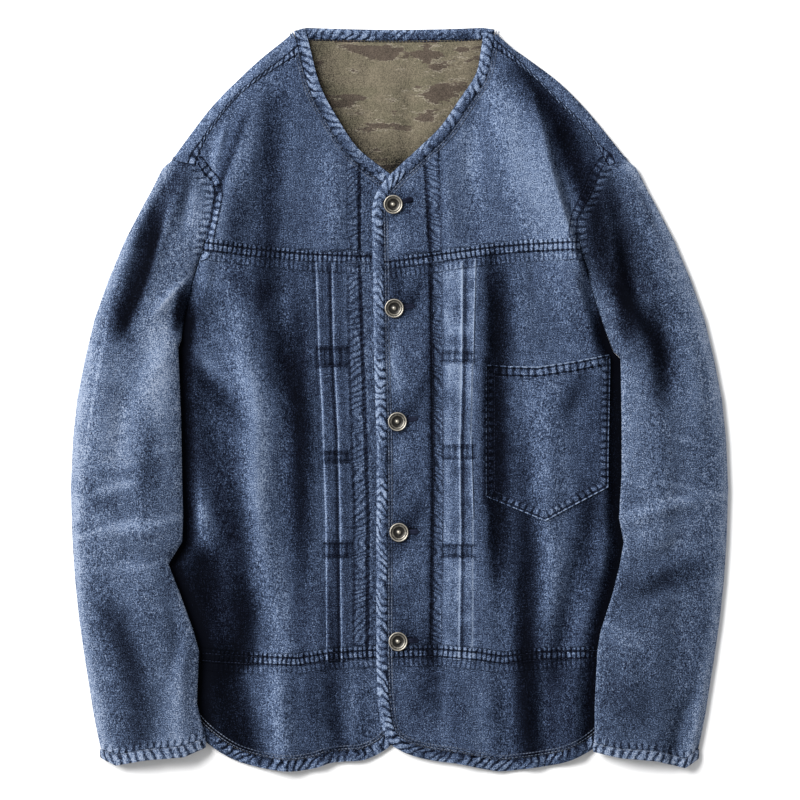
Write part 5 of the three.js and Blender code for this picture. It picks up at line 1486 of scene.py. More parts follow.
    def body(self) -> None:
        """The lower panel between the yoke seam and the waist seam."""
        sign, seams, strip = self.side.value, SEAMS[self.side], STRIP[self.side]
        grid = self.body_grid()
        across = np.linspace(grid[-1, 0, 0] + sign * 1.5, sign * 190, 140)
        rows = [np.column_stack([across, y_at(seams.waist, across) + gap]) for gap in ROW_PLACES]
        down = np.linspace(y_at(seams.yoke, sign * 35) - 2, y_at(seams.waist, sign * 35) + 11, 120)
        line = x_at(strip.stitch, down)
        rows += [np.column_stack([line + sign * gap, down]) for gap in ((0.3, 2.4) if sign < 0 else (1.4, 10.5))]
        if sign < 0:
            rows.append(np.column_stack([x_at(strip.outer, down) + 1.5, down]))
        for top, bottom in TACKS[self.side]:
            first, last = x_at(strip.outer, top) + sign, x_at(strip.outer_tuck, top) + sign * 3
            bar = np.linspace(first, last, 12)
            rows += [np.column_stack([bar, np.full(12, level)]) for level in (top - 1, bottom + 1)]
        self.lift(f"front_body_{self.side.label}", grid, rows, self.body_cut)

    def hem(self) -> None:
        """The hem band below the waist seam."""
        shape, seams, levels = self.shape, SEAMS[self.side], self.shape.levels
        columns = self.body_grid()[-1, :, 0]
        first, last = columns[0], columns[-1]
        u, v = (columns - first) / (last - first), np.linspace(0, 1, 50)
        top = np.column_stack([columns, y_at(seams.waist, columns) - SEAM_GAP / 2])
        bottom = shape.within(lerp(levels["corner"], 1.0, u))
        inner = shape.within(lerp(levels["waist"], levels["corner"], v))
        inner[0] = top[0]
        outer = lerp(top[-1], bottom[-1], v[:, None])
        grid = Grids.patch(top, bottom, inner, outer, u, v)
        self.lift(f"front_hem_{self.side.label}", grid, [], self.hem_cut)

    def build(self) -> None:
        """Builds the four pieces."""
        self.yoke()
        self.body()
        self.hem()
        bound_edge(f"binding_front_{self.side.label}", self.shape.edge, self.side.value, self.shape.height, 1100.0,
                   self.edge_cut, (0.42, 0.17), thread=PALE_THREAD)


def bound_edge(node: str, edge: Spline, inward: int, height: Callable[[Array, Array], Array], length: float,
               cut: Cut, tones: tuple[float, float], sink: float = BOUND_RISE,
               places: tuple[float, ...] = (EDGE_ROW, EDGE_ROW + 2.7), thread: ThreadFinish = THREAD) -> None:
    """A bound edge: a flat roll of cloth along the outside of the panels that it holds.

    Its section is a flattened bow over the width, the same above and below, carried along the edge.

    Args:
        node: the solid that it stands for.
        edge: its outer line.
        inward: 1 where the panels are to the left of the line, -1 where they are to the right.
        height: the panels' height at X and Y.
        length: its length, which sets the steps along it.
        cut: its flat size.
        tones: its wear, and the wear where it runs round the hem.
        sink: how far its lower side reaches down.
        places: the rows of sewing, as distances from its outer line.
        thread: the sewing's finish.
    """
    at = np.array([1.0, 0.94, 0.84, 0.7, 0.54, 0.38, 0.24, 0.13, 0.05, 0.0])
    bow = np.clip(1 - np.abs(2 * at - 1.06) ** 3.2, 0.12, 1) ** 0.5
    t = np.linspace(0, 1, int(length / 1.6))
    lines = np.stack([beside(edge, t, inward * share * BOUND_WIDTH) for share in at], 1)
    level = height(lines[:, 0, 0], lines[:, 0, 1]) - CLOTH / 2
    run, across = np.broadcast_arrays(runs(lines[:, 4])[:, None], at[None, :])
    slant = run - inward * STROKE_SLANT * across + 4.5 * CRUMPLE[0](run / 14, 2.0 * across)
    fade = np.clip(0.85 + 0.80 * CRUMPLE[1](run / 19, 1.4 * across), 0.2, 1.3)
    top = level[:, None] + BOUND_RISE * bow + 0.26 * pucker(slant * 0.8) * bow
    low = level[:, None] + np.maximum(-sink * bow, -level[:, None])
    tone = lerp(tones[1], tones[0], smooth((lines[:, :, 1] + 332) / 30)) + 0.16 * (fade - 0.85)
    tone = tone + 0.20 * bell((across - 0.15) / 0.2) - 0.26 * bell((across - 0.95) / 0.16)
    wear = Wear(tone, lerp(0.6, 1.05, across) * fade, slant * 0.8, 0 * top - 9)
    rows = [beside(edge, t, inward * place) for place in places]
    rows = [np.column_stack([row, height(row[:, 0], row[:, 1]) + 0.5]) for row in rows]
    piece = Grids.wall(node, np.dstack([lines, top]), np.dstack([lines, low]), wear)
    dress(piece, node, DENIM, cut, rows, thread=thread)


@dataclass
class Pocket:
    """The patch pocket, made from the points of the front below it, moved out."""

    front: Front
    cut: Cut
    hem_width: float = 11.0
    edge_width: float = 7.8

    # Paler and darker places on the pocket: partly wear, partly a painted highlight and painted shade.
    WEAR = folds(
        (-0.26, 9, 7, 0.4, 0.2, 176, 30, 164, 0, 152, -22),
        (0.12, 12, 9, 0.2, 0.4, 112, 24, 122, -20, 132, -82),
        (-0.52, 12, 11, 0.9, 0.8, 90, 26, 91, -30, 94, -86),
        (-0.10, 10, 10, 0.6, 0.4, 116, 4, 114, -30, 116, -70),
    )

    def build(self) -> None:
        """Builds the pocket and its rows of sewing."""
        shape = self.front.shape
        grid = self.front.body_grid()
        first = sum(self.front.ACROSS[:7])
        above, beside_it, _ = self.front.DOWN
        grid = grid[above : above + beside_it + 1, first : first + self.front.ACROSS[7] + 1]
        x, y = grid[..., 0], grid[..., 1]
        base = shape.height(x, y) + LAYER_GAP + 0.22 * crumple(x, y) + 0.1
        rim = np.concatenate([grid[0, ::-1], grid[1:, 0], grid[-1, 1:], grid[-2::-1, -1]])
        gap, _, place, _ = nearest(rim, x, y)
        run = run_at(rim, place)
        width = np.where(y > y_at(POCKET_TOP, x) - self.hem_width - 1.5, self.hem_width, self.edge_width)
        mask = 0.8 * smooth((width + 0.6 - gap) / 1.4)
        top = base + POCKET_CLOTH + mask * (0.15 + 0.25 * pucker(run))
        tone = lerp(shape.tone(x, y), FRONT_LOOK[Side.RIGHT].base + 0.04, 0.45) - 0.08 * mask + 0.6 * bell(gap / 1.2)
        tone = tone + folds_at(self.WEAR, x, y)
        outer, inner = np.dstack([grid, top]), np.dstack([grid, base])
        piece = Grids.wall("pocket", outer, inner, Wear(tone, mask, run, gap))
        rows = []
        steps_in, steps_down = np.gradient(x)[1].mean(), -np.gradient(y)[0].mean()
        for inset in (1.6, self.edge_width):
            c, r = int(round(inset / abs(steps_in))), int(round(inset / steps_down))
            down, back = outer[2:-1 - r, c], outer[2:-1 - r, -1 - c][::-1]
            rows.append(np.concatenate([down, outer[-1 - r, c:-c or None], back]))
        rows.append(outer[int(round(self.hem_width / steps_down)), 1:-1])
        dress(piece, "pocket", DENIM, self.cut, rows, ("front_body_right_cloth",))


@dataclass
class Sleeve:
    """A sleeve, a flattened tube open at the armhole and the cuff, and the bound edge of its cuff."""

    side: Side
    cut: Cut
    cuff_cut: Cut
    shape: FrontShape
    base_tone: float
    low_shade: float
    over: int = 88
    below: int = 30

    TUCKED_ROW = 2.4

    def lift_at(self, x: Array, y: Array) -> Array:
        """How high the sleeve lies on the body at x."""
        seam = np.abs(x_at(SEAMS[self.side].side, y))
        return SLEEVE_LIFT * (1 - smooth((np.abs(x) - seam - 7) / 26)) * smooth((UNDERARM_Y + 8 - y) / 30)

    def section(self, y: Array, grow: float = 0.0, relief: bool = True) -> tuple[Array, Array]:
        """The tube's section at each Y: over the top from its inner edge, round the outer fold and back below.

        Args:
            y: heights of the sections, as a column.
            grow: how far it stands out from the sleeve.
            relief: whether the cloth's small unevenness is on it.

        Returns:
            X and Z by section and place round it.
        """
        sign, side = self.side.value, self.side
        table = np.array(SLEEVE, float)[::-1]
        out = np.interp(y, table[:, 0], table[:, 1]) + grow - 4.6 * smooth((y - 213) / 9)
        full = np.interp(y, table[:, 0], table[:, 2]) + grow
        inner = sleeve_inner(side, y)
        opened, on_back = smooth((y - UNDERARM_Y) / 60), smooth((y - 118) / 60)
        low_inner = np.where(y > UNDERARM_Y, np.maximum(inner, x_at(ARMHOLE_BACK, y) + ARMHOLE_GAP), inner - grow)
        seam_height = self.shape.height(sign * (inner - ARMHOLE_GAP), y)
        q = 0.5 - 0.5 * np.cos(np.pi * np.linspace(0, 1, self.over + 1))[None]
        w = 2 * q - 1
        x = sign * lerp(inner - grow, out, q)
        closed = (1 - np.abs(w) ** 2.6) ** 0.6
        arch = np.where(w < 0, lerp(closed, 1 - 0.12 * w * w, opened * on_back), closed)
        edge = np.where(w < 0, lerp(SLEEVE_EDGE, LOW_FRONT - 0.4, opened * (1 - on_back) * w * w), SLEEVE_EDGE)
        yy = np.broadcast_to(y, x.shape)
        z = edge + full * arch + folds_at(SLEEVE_FOLDS[side], x, yy) * closed + self.lift_at(x, y)
        if relief:
            z = z + 0.32 * crumple(x + 500, yy * 1.3) * closed
        z = lerp(z, seam_height, opened * on_back * smooth(1 - q / 0.5))
        p = 0.5 - 0.5 * np.cos(np.pi * np.linspace(0, 1, self.below + 1))[None, 1:]
        w = 2 * p - 1
        x_low = sign * lerp(out, low_inner, p)
        curl = 1 - np.sqrt(np.maximum(1 - np.abs(w) ** 12, 0))
        rise = np.where(w > 0, lerp(curl, 0, smooth((y - UNDERARM_Y) / 10)), curl)
        z_low = (SLEEVE_EDGE - SEAM_SLIT * p) * rise + self.lift_at(x_low, y)
        return np.concatenate([x, x_low], 1), np.concatenate([z, z_low], 1)

    @staticmethod
    def inside(x: Array, z: Array, thickness: float) -> tuple[Array, Array]:
        """The sections again, moved inwards by the cloth's thickness at right angles to their line."""
        area = (x * np.roll(z, -1, 1) - np.roll(x, -1, 1) * z).sum(1, keepdims=True)
        before = lambda a: np.concatenate([a[:, :1], a[:, :-1]], 1)
        after = lambda a: np.concatenate([a[:, 1:], a[:, -1:]], 1)
        dx, dz = after(x) - before(x), after(z) - before(z)
        length = np.maximum(np.hypot(dx, dz), 1e-6)
        turn = np.sign(area) * thickness
        return x - turn * dz / length, z + turn * dx / length

    def leaned(self, y: Array, share: Array) -> Array:
        """Y of a section's points: the first sections lean up to the shoulder and the last to the slanting cuff."""
        table = np.array(CUFF[self.side], float)
        seam = np.interp(share, table[:, 0], table[:, 1])
        return y + 6 * share * smooth((y - 190) / 30) + (seam - CUFF_TOP) * smooth((-y - 240) / (-CUFF_TOP - 240))

    def share(self, x: Array) -> Array:
        """Share of the way across each section from its inner edge to its outer fold."""
        start, end = x[:, :1], x[:, self.over : self.over + 1]
        return np.clip((x - start) / (end - start), 0, 1)

    def tone(self, x: Array, y: Array) -> Array:
        """How pale the sleeve's denim is: ridges paler and troughs darker, and paler and darker places, each partly
        wear and partly painted light and shade, thin creases across the elbow, an outer fold paler by wear and a
        painted highlight, and painted shade on the lower part.
        """
        ridges = 0.012 * folds_at(SLEEVE_FOLDS[self.side], x, y) + folds_at(SLEEVE_WEAR_AND_SHADING[self.side], x, y)
        creases = smooth(1.6 * CRUMPLE[1](x / 44, (y + 0.25 * np.abs(x)) / 7.5) - 0.35)
        creases = creases * bell((y + 90) / 110)
        table = np.array(SLEEVE, float)[::-1]
        # The outer fold is paler, partly by wear and partly as a painted highlight; low_shade is painted shade on the
        # lower part.
        fold = bell((np.interp(y, table[:, 0], table[:, 1]) - np.abs(x)) / 9)
        lower = self.low_shade * smooth((-170 - y) / 40) * (1 - 0.6 * fold)
        return self.base_tone + ridges + 0.16 * creases + 0.38 * fold + 0.05 * crumple(x, y) - lower

    def build(self) -> None:
        """Builds the tube and its cuff."""
        y = np.concatenate([[221.8], np.linspace(221.0, UNDERARM_Y, 76), np.linspace(UNDERARM_Y, CUFF_TOP, 176)[1:]])
        y = y[:, None]
        x, z = self.section(y)
        share = self.share(x)
        yy = self.leaned(np.broadcast_to(y, x.shape), share)
        xi, zi = self.inside(x, z, SLEEVE_CLOTH)
        tucked = self.TUCKED_ROW * bell((y - y[0]) / 0.5)
        yy, z, zi = yy + tucked, np.maximum(z - 0.8 * tucked, 0), np.maximum(zi - 0.8 * tucked, 0.2)
        outer, inner = np.dstack([x, yy, z]), np.dstack([xi, yy, zi])
        top_gap = np.abs(x) - sleeve_inner(self.side, y)
        gap = nearest(np.array(SEAMS[self.side].armhole, float), x, yy)[0]
        near_cuff = smooth((self.cuff_line(share) + 7 - yy) / 3)
        mask = np.maximum(0.6 * smooth((9 - gap) / 3), 0.7 * near_cuff)
        run = np.where(gap < 12, yy * 1.0, x * 1.0)
        # A painted highlight along the inner edge below the underarm, then a painted shadow across the top row under
        # the yoke's edge.
        worn = self.tone(x, yy) - 0.10 * mask + 0.20 * bell(top_gap / 3.2) * smooth((60 - yy) / 40)
        worn = worn - 0.35 * bell((y - 222) / 3.0)
        label = f"sleeve_{self.side.label}"
        piece = Grids.wall(label, outer, inner, Wear(worn, mask, run, 0 * mask - 9))
        dress(piece, label, SLEEVE_DENIM, self.cut, [], (f"front_body_{self.side.label}_cloth",))
        self.cuff()

    def cuff_line(self, share: Array) -> Array:
        """Y of the cuff's seam at a share of the way across."""
        table = np.array(CUFF[self.side], float)
        return np.interp(share, table[:, 0], table[:, 1])

    def cuff(self) -> None:
        """The cuff's bound edge: a roll round the end of the sleeve, fullest in the middle of its width."""
        down = np.array([0.02, 0.1, 0.22, 0.38, 0.56, 0.74, 0.88, 0.96, 1.0])
        swell = np.clip(1 - np.abs(2 * down - 1) ** 3.0, 0.05, 1) ** 0.6
        table = np.array(CUFF[self.side], float)
        outer, inner = [], []
        at = np.full((1, 1), CUFF_TOP)
        for d, s in zip(down, swell):
            x, z = self.section(at, CUFF_EXTRA * s, False)
            share = self.share(x)
            seam = np.interp(share, table[:, 0], table[:, 1]) - SEAM_GAP
            y = lerp(seam, np.interp(share, table[:, 0], table[:, 2]), d)
            xi, zi = self.inside(x, z, SLEEVE_CLOTH + CUFF_EXTRA * (0.4 + s))
            outer.append(np.dstack([x, y, np.maximum(z, 0)])[0])
            inner.append(np.dstack([xi, y, np.maximum(zi, 0.9)])[0])
        outer, inner = np.stack(outer), np.stack(inner)
        run = np.cumsum(np.linalg.norm(np.diff(outer[4], axis=0, prepend=outer[4][:1]), axis=1))[None, :]
        slant = (run + 4.5 * down[:, None]) * 0.8
        outer[..., 2] += 0.12 * pucker(slant) * swell[:, None] * (outer[..., 2] > 4)
        tone = 0.42 + 0.12 * bell((down - 0.8) / 0.25)[:, None] + 0 * run
        label = f"cuff_{self.side.label}"
        piece = Grids.wall(label, outer, inner, Wear(tone, 0 * tone + 0.9, slant, 0 * tone - 9))
        row = outer[1, 1 : self.over].copy()
        row[:, 2] += 0.1
        dress(piece, label, SLEEVE_DENIM, self.cuff_cut, [row], thread=PALE_THREAD)


@dataclass
class Back:
    """The back: its yoke folded forward over both shoulders, the back, its hem band, its bound edges, the lining."""

    fronts: dict[Side, FrontShape]
    yoke_cut: Cut
    body_cut: Cut
    hem_cut: Cut
    hem_edge_cut: Cut
    neck_edge_cut: Cut
    lining_cut: Cut
    rows: int = 100

    # Places of the yoke's fold over a shoulder: way from fold to seam, share of the seam's height plus an amount,
    # and how the inner face moves from it (sideways, up).
    ARC = (
        (1, 1, 0.2, 0, -1.2), (0.62, 1, 0.9, 0, -1.15), (0.28, 1, 0.2, 0.4, -1.2), (0.07, 0.74, 0, 0.9, -0.75),
        (0, 0.42, 0, 1, 0), (0.07, 0.1, 0, 0.8, 0.7), (0.24, 0, 0, 0, 1),
    )

    def arc(self, side: Side, t: Array, inside: bool) -> tuple[Array, Array, Array]:
        """The yoke's fold over one shoulder at each t from neck to tip.

        Args:
            side: the shoulder's side.
            t: shares of the way from the neck to the tip.
            inside: whether the inner face is asked for.

        Returns:
            Points by t and place, distance to the seam, and the way from fold to seam.
        """
        shape = self.fronts[side]
        fold = Spline(np.array(SHOULDER_FOLD[side], float))(t)
        start = shape.within(shape.levels["shoulder"])
        seam = Spline(np.array([start, *SEAMS[side].shoulder[1:]], float))(t) + [0, SEAM_GAP / 2]
        width = np.linalg.norm(seam - fold, axis=1)[:, None]
        height = shape.surface(seam[:, 0], seam[:, 1])[:, None]
        bend = Spline(np.array(self.ARC, float))(np.linspace(0, 1, 31))
        at, share, plus, sideways, up = (bend[None, :, k] for k in range(5))
        along = at + (sideways * CLOTH / width if inside else 0)
        place = lerp(fold[:, None], seam[:, None], along[..., None])
        z = height * share + plus + (up * CLOTH if inside else 0)
        gap = (1 - at) * width
        return np.dstack([place, np.maximum(z, 0)]), gap, np.broadcast_to(at, gap.shape)

    def yoke(self) -> None:
        """The back yoke."""
        t = np.linspace(0, 1, self.rows)
        faces, gaps = [], []
        for inside in (False, True):
            left, gap_left, _ = self.arc(Side.LEFT, t, inside)
            right, gap_right, _ = self.arc(Side.RIGHT, t, inside)
            right, gap_right = right[:, ::-1], gap_right[:, ::-1]
            lines = {side: Spline(np.array(SHOULDER_FOLD[side], float))(t) for side in Side}
            y = lerp(BACK_NECK, BACK_YOKE, t)
            marks = [left[:, -1]]
            for u in (0.055, 0.28, 0.5, 0.72, 0.945):
                x = lerp(lines[Side.LEFT][:, 0], lines[Side.RIGHT][:, 0], u)
                marks.append(np.column_stack([x, y, np.full_like(x, CLOTH if inside else 0.0)]))
            marks.append(right[:, 0])
            middle = np.concatenate(
                [lerp(a[:, None], b[:, None], np.linspace(0, 1, 8)[1 if k else 1 : -1 if k == 5 else None, None])
                 for k, (a, b) in enumerate(zip(marks, marks[1:]))], 1)
            faces.append(np.concatenate([left, middle, right], 1))
            gaps.append(np.concatenate([gap_left, np.full(middle.shape[:2], 90.0), gap_right], 1))
        outer, inner = faces
        gap = gaps[0]
        upper = outer[..., 2] > 3.2
        mask = upper * smooth((10.5 - gap) / 1.5)
        run = np.broadcast_to(runs(outer[:, 0])[:, None], gap.shape)
        outer[..., 2] += mask * 0.25 * pucker(run) + upper * 0.15 * crumple(outer[..., 0], outer[..., 1])
        tone = 0.47 - 0.14 * mask + 0.04 * crumple(outer[..., 0], outer[..., 1]) + 0.10 * bell((gap - 26) / 10) * upper
        tone = tone - 0.12 * (outer[..., 0] > 0)
        piece = Grids.wall("back_yoke", outer, inner, Wear(tone, mask, run, gap))
        rows = []
        for side in Side:
            points, gap_side, _ = self.arc(side, t, False)
            for inset in (1.8, 8.6):
                cover = gap_side[:, :14]
                low = np.clip((cover < inset).sum(1) - 1, 0, 12)
                k = np.arange(len(t))
                share = (inset - cover[k, low]) / np.maximum(cover[k, low + 1] - cover[k, low], 1e-6)
                row = lerp(points[k, low], points[k, low + 1], np.clip(share, 0, 1)[:, None])
                row[:, 2] += 0.15
                rows.append(row[2:-3])
        dress(piece, "back_yoke", DENIM, self.yoke_cut, rows)

    @staticmethod
    def side_edge(side: Side, y: Array) -> Array:
        """Distance from the middle of the back's edge: its armhole, and below it a little inside the side seam."""
        underarm = x_at(ARMHOLE_BACK, UNDERARM_Y)
        low = np.maximum(np.abs(x_at(SEAMS[side].side, y)) - SIDE_INSET,
                         np.minimum(underarm, sleeve_inner(side, y) - 1))
        return np.where(y > UNDERARM_Y, x_at(ARMHOLE_BACK, y), low)

    def slab(self, node: str, grid: Array, cut: Cut, tone: float, low: float, high: float,
             finish: BaseFinish = DENIM) -> None:
        """A flat piece of cloth between two levels."""
        x, y = grid[..., 0], grid[..., 1]
        if finish is DENIM:
            rise, shade = 0.12 * (crumple(x, y) - 1.2), 0.05 * crumple(x, y)
        else:
            rise, shade = self.lining_relief(x, y), self.lining_shade(x, y)
        outer, inner = np.dstack([x, y, high + rise]), np.dstack([x, y, np.full(x.shape, low)])
        dress(Grids.wall(node, outer, inner, Wear.plain(tone + shade)), node, finish, cut, [])

    @staticmethod
    def lining_relief(x: Array, y: Array) -> Array:
        """Soft upright folds of the lining where it shows inside the neck."""
        shows = smooth((56 - np.abs(x + 3)) / 20) * smooth((y - 236) / 20) * smooth((336 - y) / 10)
        wave = 0.9 * bell((x - 2 - 0.04 * (y - 260)) / 6) + 0.7 * bell((x + 26) / 9) + 0.8 * bell((x - 34) / 10)
        return shows * (wave + 0.25 * crumple(x, y))

    def lining_shade(self, x: Array, y: Array) -> Array:
        """Shade of the lining: dark along the fronts' edges and low in the neck, with pale and dark upright folds."""
        t = np.linspace(0, 0.4, 60)
        left, right = (nearest(self.fronts[side].edge(t), x, y)[0] for side in Side)
        shade = -0.58 * bell(left / 20) - 0.18 * bell(right / 8) - 0.16 * smooth((262 - y) / 36)
        shade = shade - 0.14 * bell((x + 34) / 5) * smooth((y - 290) / 20)
        shade = shade - 0.20 * bell((x - 1) / 6) * smooth((330 - y) / 40)
        return shade + 0.14 * bell((x + 22) / 9) + 0.12 * bell((x - 16) / 8)

    def build(self) -> None:
        """Builds the back's pieces."""
        self.yoke()
        y = np.concatenate([np.linspace(BACK_YOKE - 2 * SEAM_GAP, UNDERARM_Y, 40),
                            np.linspace(UNDERARM_Y, BACK_WAIST + SEAM_GAP, 70)[1:]])
        u = np.linspace(0, 1, 100)
        x = lerp(-self.side_edge(Side.LEFT, y)[:, None], self.side_edge(Side.RIGHT, y)[:, None], u)
        grid = np.dstack([x, np.broadcast_to(y[:, None], x.shape)])
        self.slab("back_body", grid, self.body_cut, 0.42, 0.0, BACK_TOP)
        t = np.linspace(0, 1, 120)
        hem = beside(Spline(np.array(BACK_HEM, float)), t, BOUND_WIDTH + SEAM_GAP)
        ends = [-self.side_edge(Side.LEFT, BACK_WAIST), self.side_edge(Side.RIGHT, BACK_WAIST)]
        top = np.column_stack([lerp(ends[0], ends[1], t), np.full_like(t, BACK_WAIST)])
        grid = lerp(top[None], hem[None], np.linspace(0, 1, 30)[:, None, None])
        self.slab("back_hem", grid, self.hem_cut, 0.36, 0.0, BACK_TOP)
        bound_edge("binding_back", Spline(np.array(BACK_HEM, float)), 1, lambda x, y: np.full(x.shape, BACK_TOP),
                   480.0, self.hem_edge_cut, (0.40, 0.20), BACK_TOP / 2)
        level = BACK_TOP + LINING + 0.5
        bound_edge("binding_neck", Spline(np.array(NECK_BAND, float)), -1, lambda x, y: np.full(x.shape, level),
                   168.0, self.neck_edge_cut, (0.34, 0.34), level, (11.4,))
        rows = np.array(((BACK_NECK + 1.2, -88, 78), (300, -116, 108), (240, -128, 120), (180, -126, 120)), float)
        y = np.linspace(rows[0, 0], rows[-1, 0], 84)
        left, right = (np.interp(y, rows[::-1, 0], rows[::-1, k]) for k in (1, 2))
        x = lerp(left[:, None], right[:, None], np.linspace(0, 1, 110))
        grid = np.dstack([x, np.broadcast_to(y[:, None], x.shape)])
        low = BACK_TOP + LAYER_GAP
        self.slab("back_lining", grid, self.lining_cut, 0.94, low, low + LINING, PRINT)


@dataclass(frozen=True)
class Button:
    """A tack button turned about its middle: a rounded raised rim, a dished face and a small stud."""

    shape: FrontShape
    radius: float = 9.0
    height: float = 3.2
    sides: int = 56

    # Profile from the underside outwards and back over the face: (radius, height, brightness).
    PROFILE = (
        (0, 0, 0.2), (7.9, 0, 0.2), (8.7, 0.3, 0.3), (9.0, 1.0, 0.5), (9.0, 2.2, 0.7), (8.85, 2.75, 0.85),
        (8.5, 3.0, 0.95), (8.1, 2.95, 0.9), (7.75, 2.75, 0.45), (7.4, 2.5, 0.1), (6.9, 2.42, 0.2), (6.0, 2.36, 0.5),
        (5.6, 2.1, 0.3), (5.2, 1.75, 0.05), (3.4, 1.5, 0.0), (2.2, 1.56, 0.05), (1.8, 1.9, 0.5), (1.4, 2.35, 0.9),
        (0.9, 2.6, 0.85), (0, 2.7, 0.8),
    )

    def build(self, index: int, x: float, y: float) -> None:
        """Builds one button at its place.

        Args:
            index: its number from the top.
            x: X of its middle.
            y: Y of its middle.
        """
        around = 2 * np.pi * np.arange(8) / 8
        rest = self.shape.height(x + self.radius * np.cos(around), y + self.radius * np.sin(around)).max()
        profile = np.array(self.PROFILE, float)
        angle = 2 * np.pi * np.arange(self.sides) / self.sides
        ring = profile[1:-1]
        px = x + ring[:, None, 0] * np.cos(angle)
        py = y + ring[:, None, 0] * np.sin(angle)
        pz = rest + LAYER_GAP + ring[:, None, 1] + 0 * px
        points = np.concatenate([np.dstack([px, py, pz]).reshape(-1, 3),
                                 [[x, y, rest + LAYER_GAP], [x, y, rest + LAYER_GAP + profile[-1, 1]]]])
        at = np.arange(len(ring) * self.sides).reshape(len(ring), self.sides)
        quads = np.stack([at[:-1], np.roll(at[:-1], -1, 1), np.roll(at[1:], -1, 1), at[1:]], -1).reshape(-1, 4)
        low, high = at.size, at.size + 1
        caps = [(low, int(b), int(a)) for a, b in zip(at[0], np.roll(at[0], -1))]
        caps += [(high, int(a), int(b)) for a, b in zip(at[-1], np.roll(at[-1], -1))]
        thing = Grids.loose(f"button_{index}_metal", points, quads.tolist() + caps)
        shades = np.concatenate([np.repeat(ring[:, 2], self.sides), [0.2, 0.8]])
        thing.data.attributes.new("tone", "FLOAT", "POINT").data.foreach_set("value", shades.astype(np.float32))
        settle(thing, METAL, f"button_{index}")


@dataclass(frozen=True)
class Buttonholes:
    """Worked buttonholes: a round-ended bar of dense thread beside each button, with a slit along it."""

    shape: FrontShape
    reach: float = 18.5
    start: float = 7.0
    half_width: float = 1.5
    thread: float = 1.15

    def outline(self, x: float, y: float, tilt: float) -> Array:
        """The thread's middle line round the slit."""
        a = np.linspace(-np.pi / 2, np.pi / 2, 12)
        end = np.column_stack([self.reach - self.half_width + self.half_width * np.cos(a) * 0.9,
                               self.half_width * np.sin(a) * 0.75])
        back = np.column_stack([np.linspace(self.reach - self.half_width, self.start, 10),
                                np.full(10, self.half_width * 0.75)])
        turn = np.column_stack([self.start - np.cos(a) * 0.8, -self.half_width * np.sin(a) * 0.75])
        front = back[::-1] * [1, -1]
        line = np.concatenate([end, back[1:], turn[1:-1], front[:-1]])
        c, s = math.cos(tilt), math.sin(tilt)
        return np.column_stack([x + line[:, 0] * c - line[:, 1] * s, y + line[:, 0] * s + line[:, 1] * c])

    def build(self) -> None:
        """Builds all the buttonholes as one piece."""
        points, faces = [], []
        for (x, y), tilt in zip(BUTTONS, BUTTONHOLE_TILTS):
            line = self.outline(x, y, tilt)
            z = self.shape.surface(line[:, 0], line[:, 1])
            along = np.roll(line, -1, 0) - np.roll(line, 1, 0)
            along /= np.linalg.norm(along, axis=1, keepdims=True)
            across = np.column_stack([-along[:, 1], along[:, 0]])
            angle = 2 * np.pi * np.arange(8) / 8
            wobble = 1 + 0.12 * np.sin(np.arange(len(line)) * 2.1)
            offset = across[:, None] * (self.thread * wobble[:, None, None] * np.cos(angle)[None, :, None])
            ring = np.dstack([line[:, None] + offset, z[:, None] + 0.4 * np.sin(angle) + 0.45])
            at = np.arange(ring.shape[0] * 8).reshape(-1, 8) + sum(len(p) for p in points)
            after, turned = np.roll(at, -1, 0), np.roll(at, -1, 1)
            faces.append(np.stack([at, after, np.roll(after, -1, 1), turned], -1).reshape(-1, 4))
            points.append(ring.reshape(-1, 3))
        settle(Grids.mesh("buttonholes", np.concatenate(points), np.concatenate(faces), {}), BUTTONHOLE)


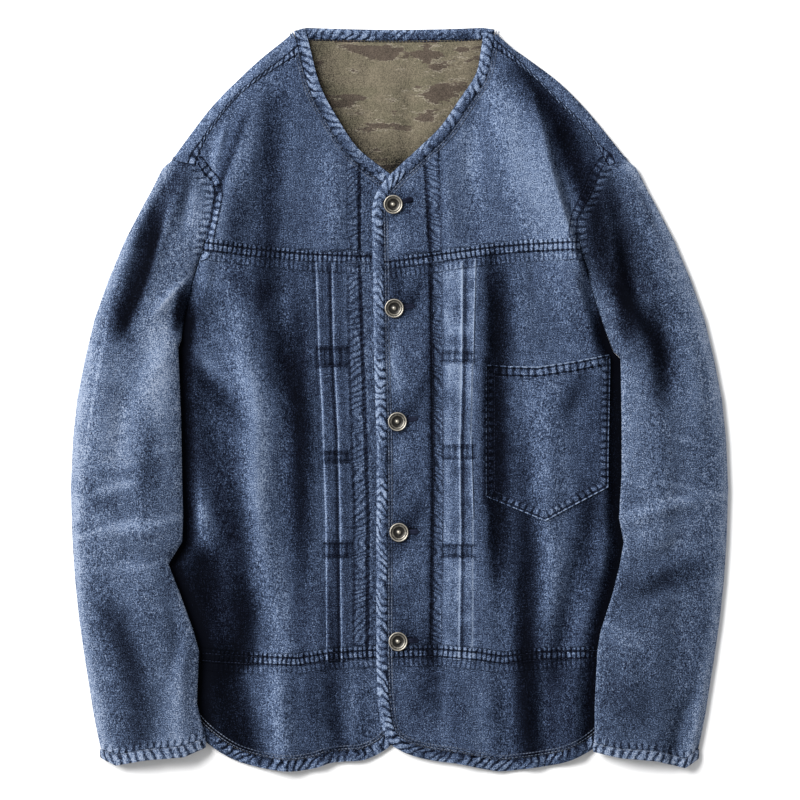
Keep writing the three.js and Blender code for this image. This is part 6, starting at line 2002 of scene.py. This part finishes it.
@dataclass(frozen=True)
class Studio:
    """The pale floor, the soft light and the camera straight above; metres but for the lengths marked as mm."""

    field_mm: float = 760.0
    middle_mm: tuple[float, float] = (0.475, -0.475)
    sensor_mm: float = 36.0
    distance: float = 5.0
    floor_half: float = 4.0
    floor_level: float = -0.0002
    floor_shade: float = 0.92
    window_place: tuple[float, float, float] = (-3.4, 2.4, 4.2)
    window_size: float = 3.2
    window_power: float = 640.0
    sky: float = 0.50

    def camera(self) -> None:
        """A camera that looks straight down, with the top of the picture towards the neck."""
        data = bpy.data.cameras.new("overhead")
        data.sensor_width = self.sensor_mm
        data.lens = self.sensor_mm * self.distance / (self.field_mm * MM)
        data.clip_end = 6 * self.distance
        thing = add_object("overhead", data)
        thing.location = (self.middle_mm[0] * MM, self.middle_mm[1] * MM, self.distance)
        bpy.context.scene.camera = thing

    def floor(self) -> None:
        """A plain pale floor."""
        mesh = bpy.data.meshes.new("floor")
        corners = [(x * self.floor_half, y * self.floor_half, self.floor_level)
                   for x, y in ((-1, -1), (1, -1), (1, 1), (-1, 1))]
        mesh.from_pydata(corners, [], [(0, 1, 2, 3)])
        thing = add_object("floor", mesh)
        made = bpy.data.materials.new("pale floor")
        made.use_nodes = True
        shader = made.node_tree.nodes["Principled BSDF"]
        shader.inputs["Base Color"].default_value = (*(self.floor_shade,) * 3, 1.0)
        shader.inputs["Roughness"].default_value = 0.9
        mesh.materials.append(made)

    def window(self) -> None:
        """A soft square light turned to the jacket."""
        data = bpy.data.lights.new("window", "AREA")
        data.shape = "SQUARE"
        data.size = self.window_size
        data.energy = self.window_power
        thing = add_object("window", data)
        thing.location = self.window_place
        x, y, z = self.window_place
        thing.rotation_euler = (0.0, math.atan2(math.hypot(x, y), z), math.atan2(y, x))

    def build(self) -> None:
        """Sets the scene."""
        self.camera()
        self.floor()
        self.window()
        world = bpy.data.worlds.new("studio")
        world.use_nodes = True
        world.node_tree.nodes["Background"].inputs["Color"].default_value = (1.0, 1.0, 1.0, 1.0)
        world.node_tree.nodes["Background"].inputs["Strength"].default_value = self.sky
        bpy.context.scene.world = world
        bpy.context.scene.view_settings.view_transform = "Standard"


def main() -> None:
    """Builds the jacket and its scene in order and writes the sizes."""
    logging.basicConfig(level=logging.INFO, format="%(name)s: %(message)s")
    Studio().build()
    shapes = {side: FrontShape(side) for side in Side}
    fronts = {
        Side.LEFT: Front(shapes[Side.LEFT], Cut(0.165, 0.200, 0.0265), Cut(0.250, 0.400, 0.0915),
                         Cut(0.250, 0.110, 0.0172), Cut(0.0125, 1.00)),
        Side.RIGHT: Front(shapes[Side.RIGHT], Cut(0.205, 0.210, 0.029), Cut(0.280, 0.400, 0.094),
                          Cut(0.265, 0.110, 0.0193), Cut(0.0125, 1.03)),
    }
    for front in fronts.values():
        front.build()
    Pocket(fronts[Side.RIGHT], Cut(0.122, 0.155, 0.0165)).build()
    sleeve_cut, cuff_cut = Cut(0.250, 0.560, 0.107), Cut(0.200, 0.0125)
    for side, tone, shade in ((Side.LEFT, 0.44, 0.03), (Side.RIGHT, 0.40, 0.12)):
        Sleeve(side, sleeve_cut, cuff_cut, shapes[side], tone, shade).build()
    Back(shapes, Cut(0.46, 0.17, 0.047), Cut(0.47, 0.46, 0.205), Cut(0.46, 0.085, 0.0315), Cut(0.0125, 0.49),
         Cut(0.0125, 0.168), Cut(0.248, 0.160, 0.036)).build()
    for index, (x, y) in enumerate(BUTTONS, 1):
        Button(shapes[Side.RIGHT]).build(index, x, y)
    Buttonholes(shapes[Side.RIGHT]).build()
    bpy.context.view_layer.update()


if __name__ == "__main__":
    main()
